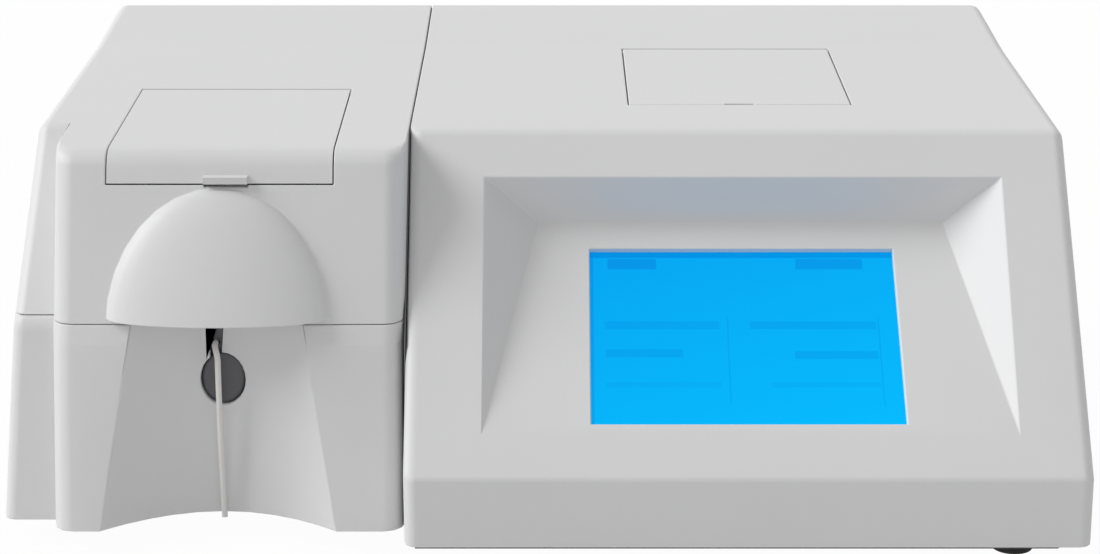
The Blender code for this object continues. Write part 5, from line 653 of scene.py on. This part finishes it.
PUMP_TUBE_RADIUS = 0.0019
FEED_POINTS = ((-0.1261, -0.0969, 0.0769), (-0.1275, -0.0901, 0.0769), (-0.1261, -0.0864, 0.0769),
               (-0.1189, -0.0843, 0.0763), (-0.1096, -0.0830, 0.0761), (-0.1040, -0.0810, 0.0787),
               (-0.1015, -0.0790, 0.0845), (-0.1002, -0.0750, 0.0890), (-0.0997, -0.0668, 0.0899),
               (-0.1002, -0.0530, 0.0890), (-0.1010, -0.0440, 0.0890), (-0.1032, -0.0389, 0.0890),
               (-0.1060, -0.0383, 0.0890), (-0.1089, -0.0380, 0.0890))
PUMP_POINTS = ((-0.1395, -0.0380, 0.0950), (-0.1440, -0.0385, 0.0950), (-0.1489, -0.0396, 0.0950),
               (-0.1544, -0.0338, 0.0951), (-0.1635, -0.0150, 0.0950), (-0.1726, 0.0011, 0.0908),
               (-0.1811, 0.0096, 0.0853), (-0.1855, 0.0110, 0.0808), (-0.1871, 0.0096, 0.0742),
               (-0.1875, 0.0050, 0.0685), (-0.1876, -0.0039, 0.0667), (-0.1875, -0.0207, 0.0664),
               (-0.1875, -0.0390, 0.0665), (-0.1875, -0.0487, 0.0661), (-0.1875, -0.0553, 0.0629),
               (-0.1875, -0.0599, 0.0572), (-0.1875, -0.0615, 0.0500), (-0.1875, -0.0599, 0.0428),
               (-0.1875, -0.0553, 0.0371), (-0.1875, -0.0487, 0.0339), (-0.1875, -0.0210, 0.0335),
               (-0.1877, 0.0095, 0.0335), (-0.1865, 0.0498, 0.0335), (-0.1838, 0.0950, 0.0335),
               (-0.1811, 0.1136, 0.0335), (-0.1799, 0.1238, 0.0335), (-0.1802, 0.1305, 0.0335))
feed_tube = tube("feed_tube_silicone", soft_route(FEED_POINTS), SIPPER_RADIUS, silicone)
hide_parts("feed_tube")
pump_tube = tube("pump_tube_silicone", soft_route(PUMP_POINTS), PUMP_TUBE_RADIUS, silicone)
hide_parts("pump_tube")


# Studio. A white table, a soft lamp from the upper left and an even grey surround that shows as
# white to the camera and in reflections.
LAMP_STRENGTH = 2.05
LAMP_SPREAD = 30.0
LAMP_DIRECTION = (-0.79, -0.04, 0.61)
SURROUND = 0.5
TABLE_GLOW = 0.97
TABLE_HALF = 3

scene = bpy.context.scene
scene.view_settings.view_transform = "Standard"
lamp_data = bpy.data.lights.new("soft_lamp", "SUN")
lamp_data.energy = LAMP_STRENGTH
lamp_data.angle = math.radians(LAMP_SPREAD)
lamp = bpy.data.objects.new("soft_lamp", lamp_data)
lamp.rotation_euler = Vector(LAMP_DIRECTION).to_track_quat("Z", "Y").to_euler()
scene.collection.objects.link(lamp)


def seen_directly(tree):
    """1 for camera rays, mirror rays and rays through glass."""
    path = tree.nodes.new("ShaderNodeLightPath")
    first = tree.nodes.new("ShaderNodeMath")
    first.operation = "MAXIMUM"
    tree.links.new(path.outputs["Is Camera Ray"], first.inputs[0])
    tree.links.new(path.outputs["Is Glossy Ray"], first.inputs[1])
    both = tree.nodes.new("ShaderNodeMath")
    both.operation = "MAXIMUM"
    tree.links.new(first.outputs[0], both.inputs[0])
    tree.links.new(path.outputs["Is Transmission Ray"], both.inputs[1])
    return both.outputs[0]


world = bpy.data.worlds.new("surround")
world.use_nodes = True
scene.world = world
tree = world.node_tree
even = tree.nodes["Background"]
even.inputs["Color"].default_value = (1, 1, 1, 1)
even.inputs["Strength"].default_value = SURROUND
white = tree.nodes.new("ShaderNodeBackground")
white.inputs["Color"].default_value = (1, 1, 1, 1)
white.inputs["Strength"].default_value = 1
choose = tree.nodes.new("ShaderNodeMixShader")
tree.links.new(seen_directly(tree), choose.inputs["Fac"])
tree.links.new(even.outputs["Background"], choose.inputs[1])
tree.links.new(white.outputs["Background"], choose.inputs[2])
tree.links.new(choose.outputs["Shader"], tree.nodes["World Output"].inputs["Surface"])

floor_build = bmesh.new()
bmesh.ops.create_grid(floor_build, x_segments=1, y_segments=1, size=TABLE_HALF)
floor_mesh = bpy.data.meshes.new("table")
floor_build.to_mesh(floor_mesh)
floor_build.free()
table = bpy.data.objects.new("table", floor_mesh)
scene.collection.objects.link(table)
table_white = bpy.data.materials.new("white_table")
table_white.use_nodes = True
tree = table_white.node_tree
tree.nodes["Principled BSDF"].inputs["Base Color"].default_value = (0.75, 0.75, 0.75, 1)
tree.nodes["Principled BSDF"].inputs["Roughness"].default_value = 0.9
glow = tree.nodes.new("ShaderNodeEmission")
glow.inputs["Strength"].default_value = 1
mix = tree.nodes.new("ShaderNodeMixShader")
part_seen = tree.nodes.new("ShaderNodeMath")
part_seen.operation = "MULTIPLY"
part_seen.inputs[1].default_value = TABLE_GLOW
tree.links.new(seen_directly(tree), part_seen.inputs[0])
tree.links.new(part_seen.outputs[0], mix.inputs["Fac"])
tree.links.new(tree.nodes["Principled BSDF"].outputs["BSDF"], mix.inputs[1])
tree.links.new(glow.outputs["Emission"], mix.inputs[2])
tree.links.new(mix.outputs["Shader"], tree.nodes["Material Output"].inputs["Surface"])
floor_mesh.materials.append(table_white)
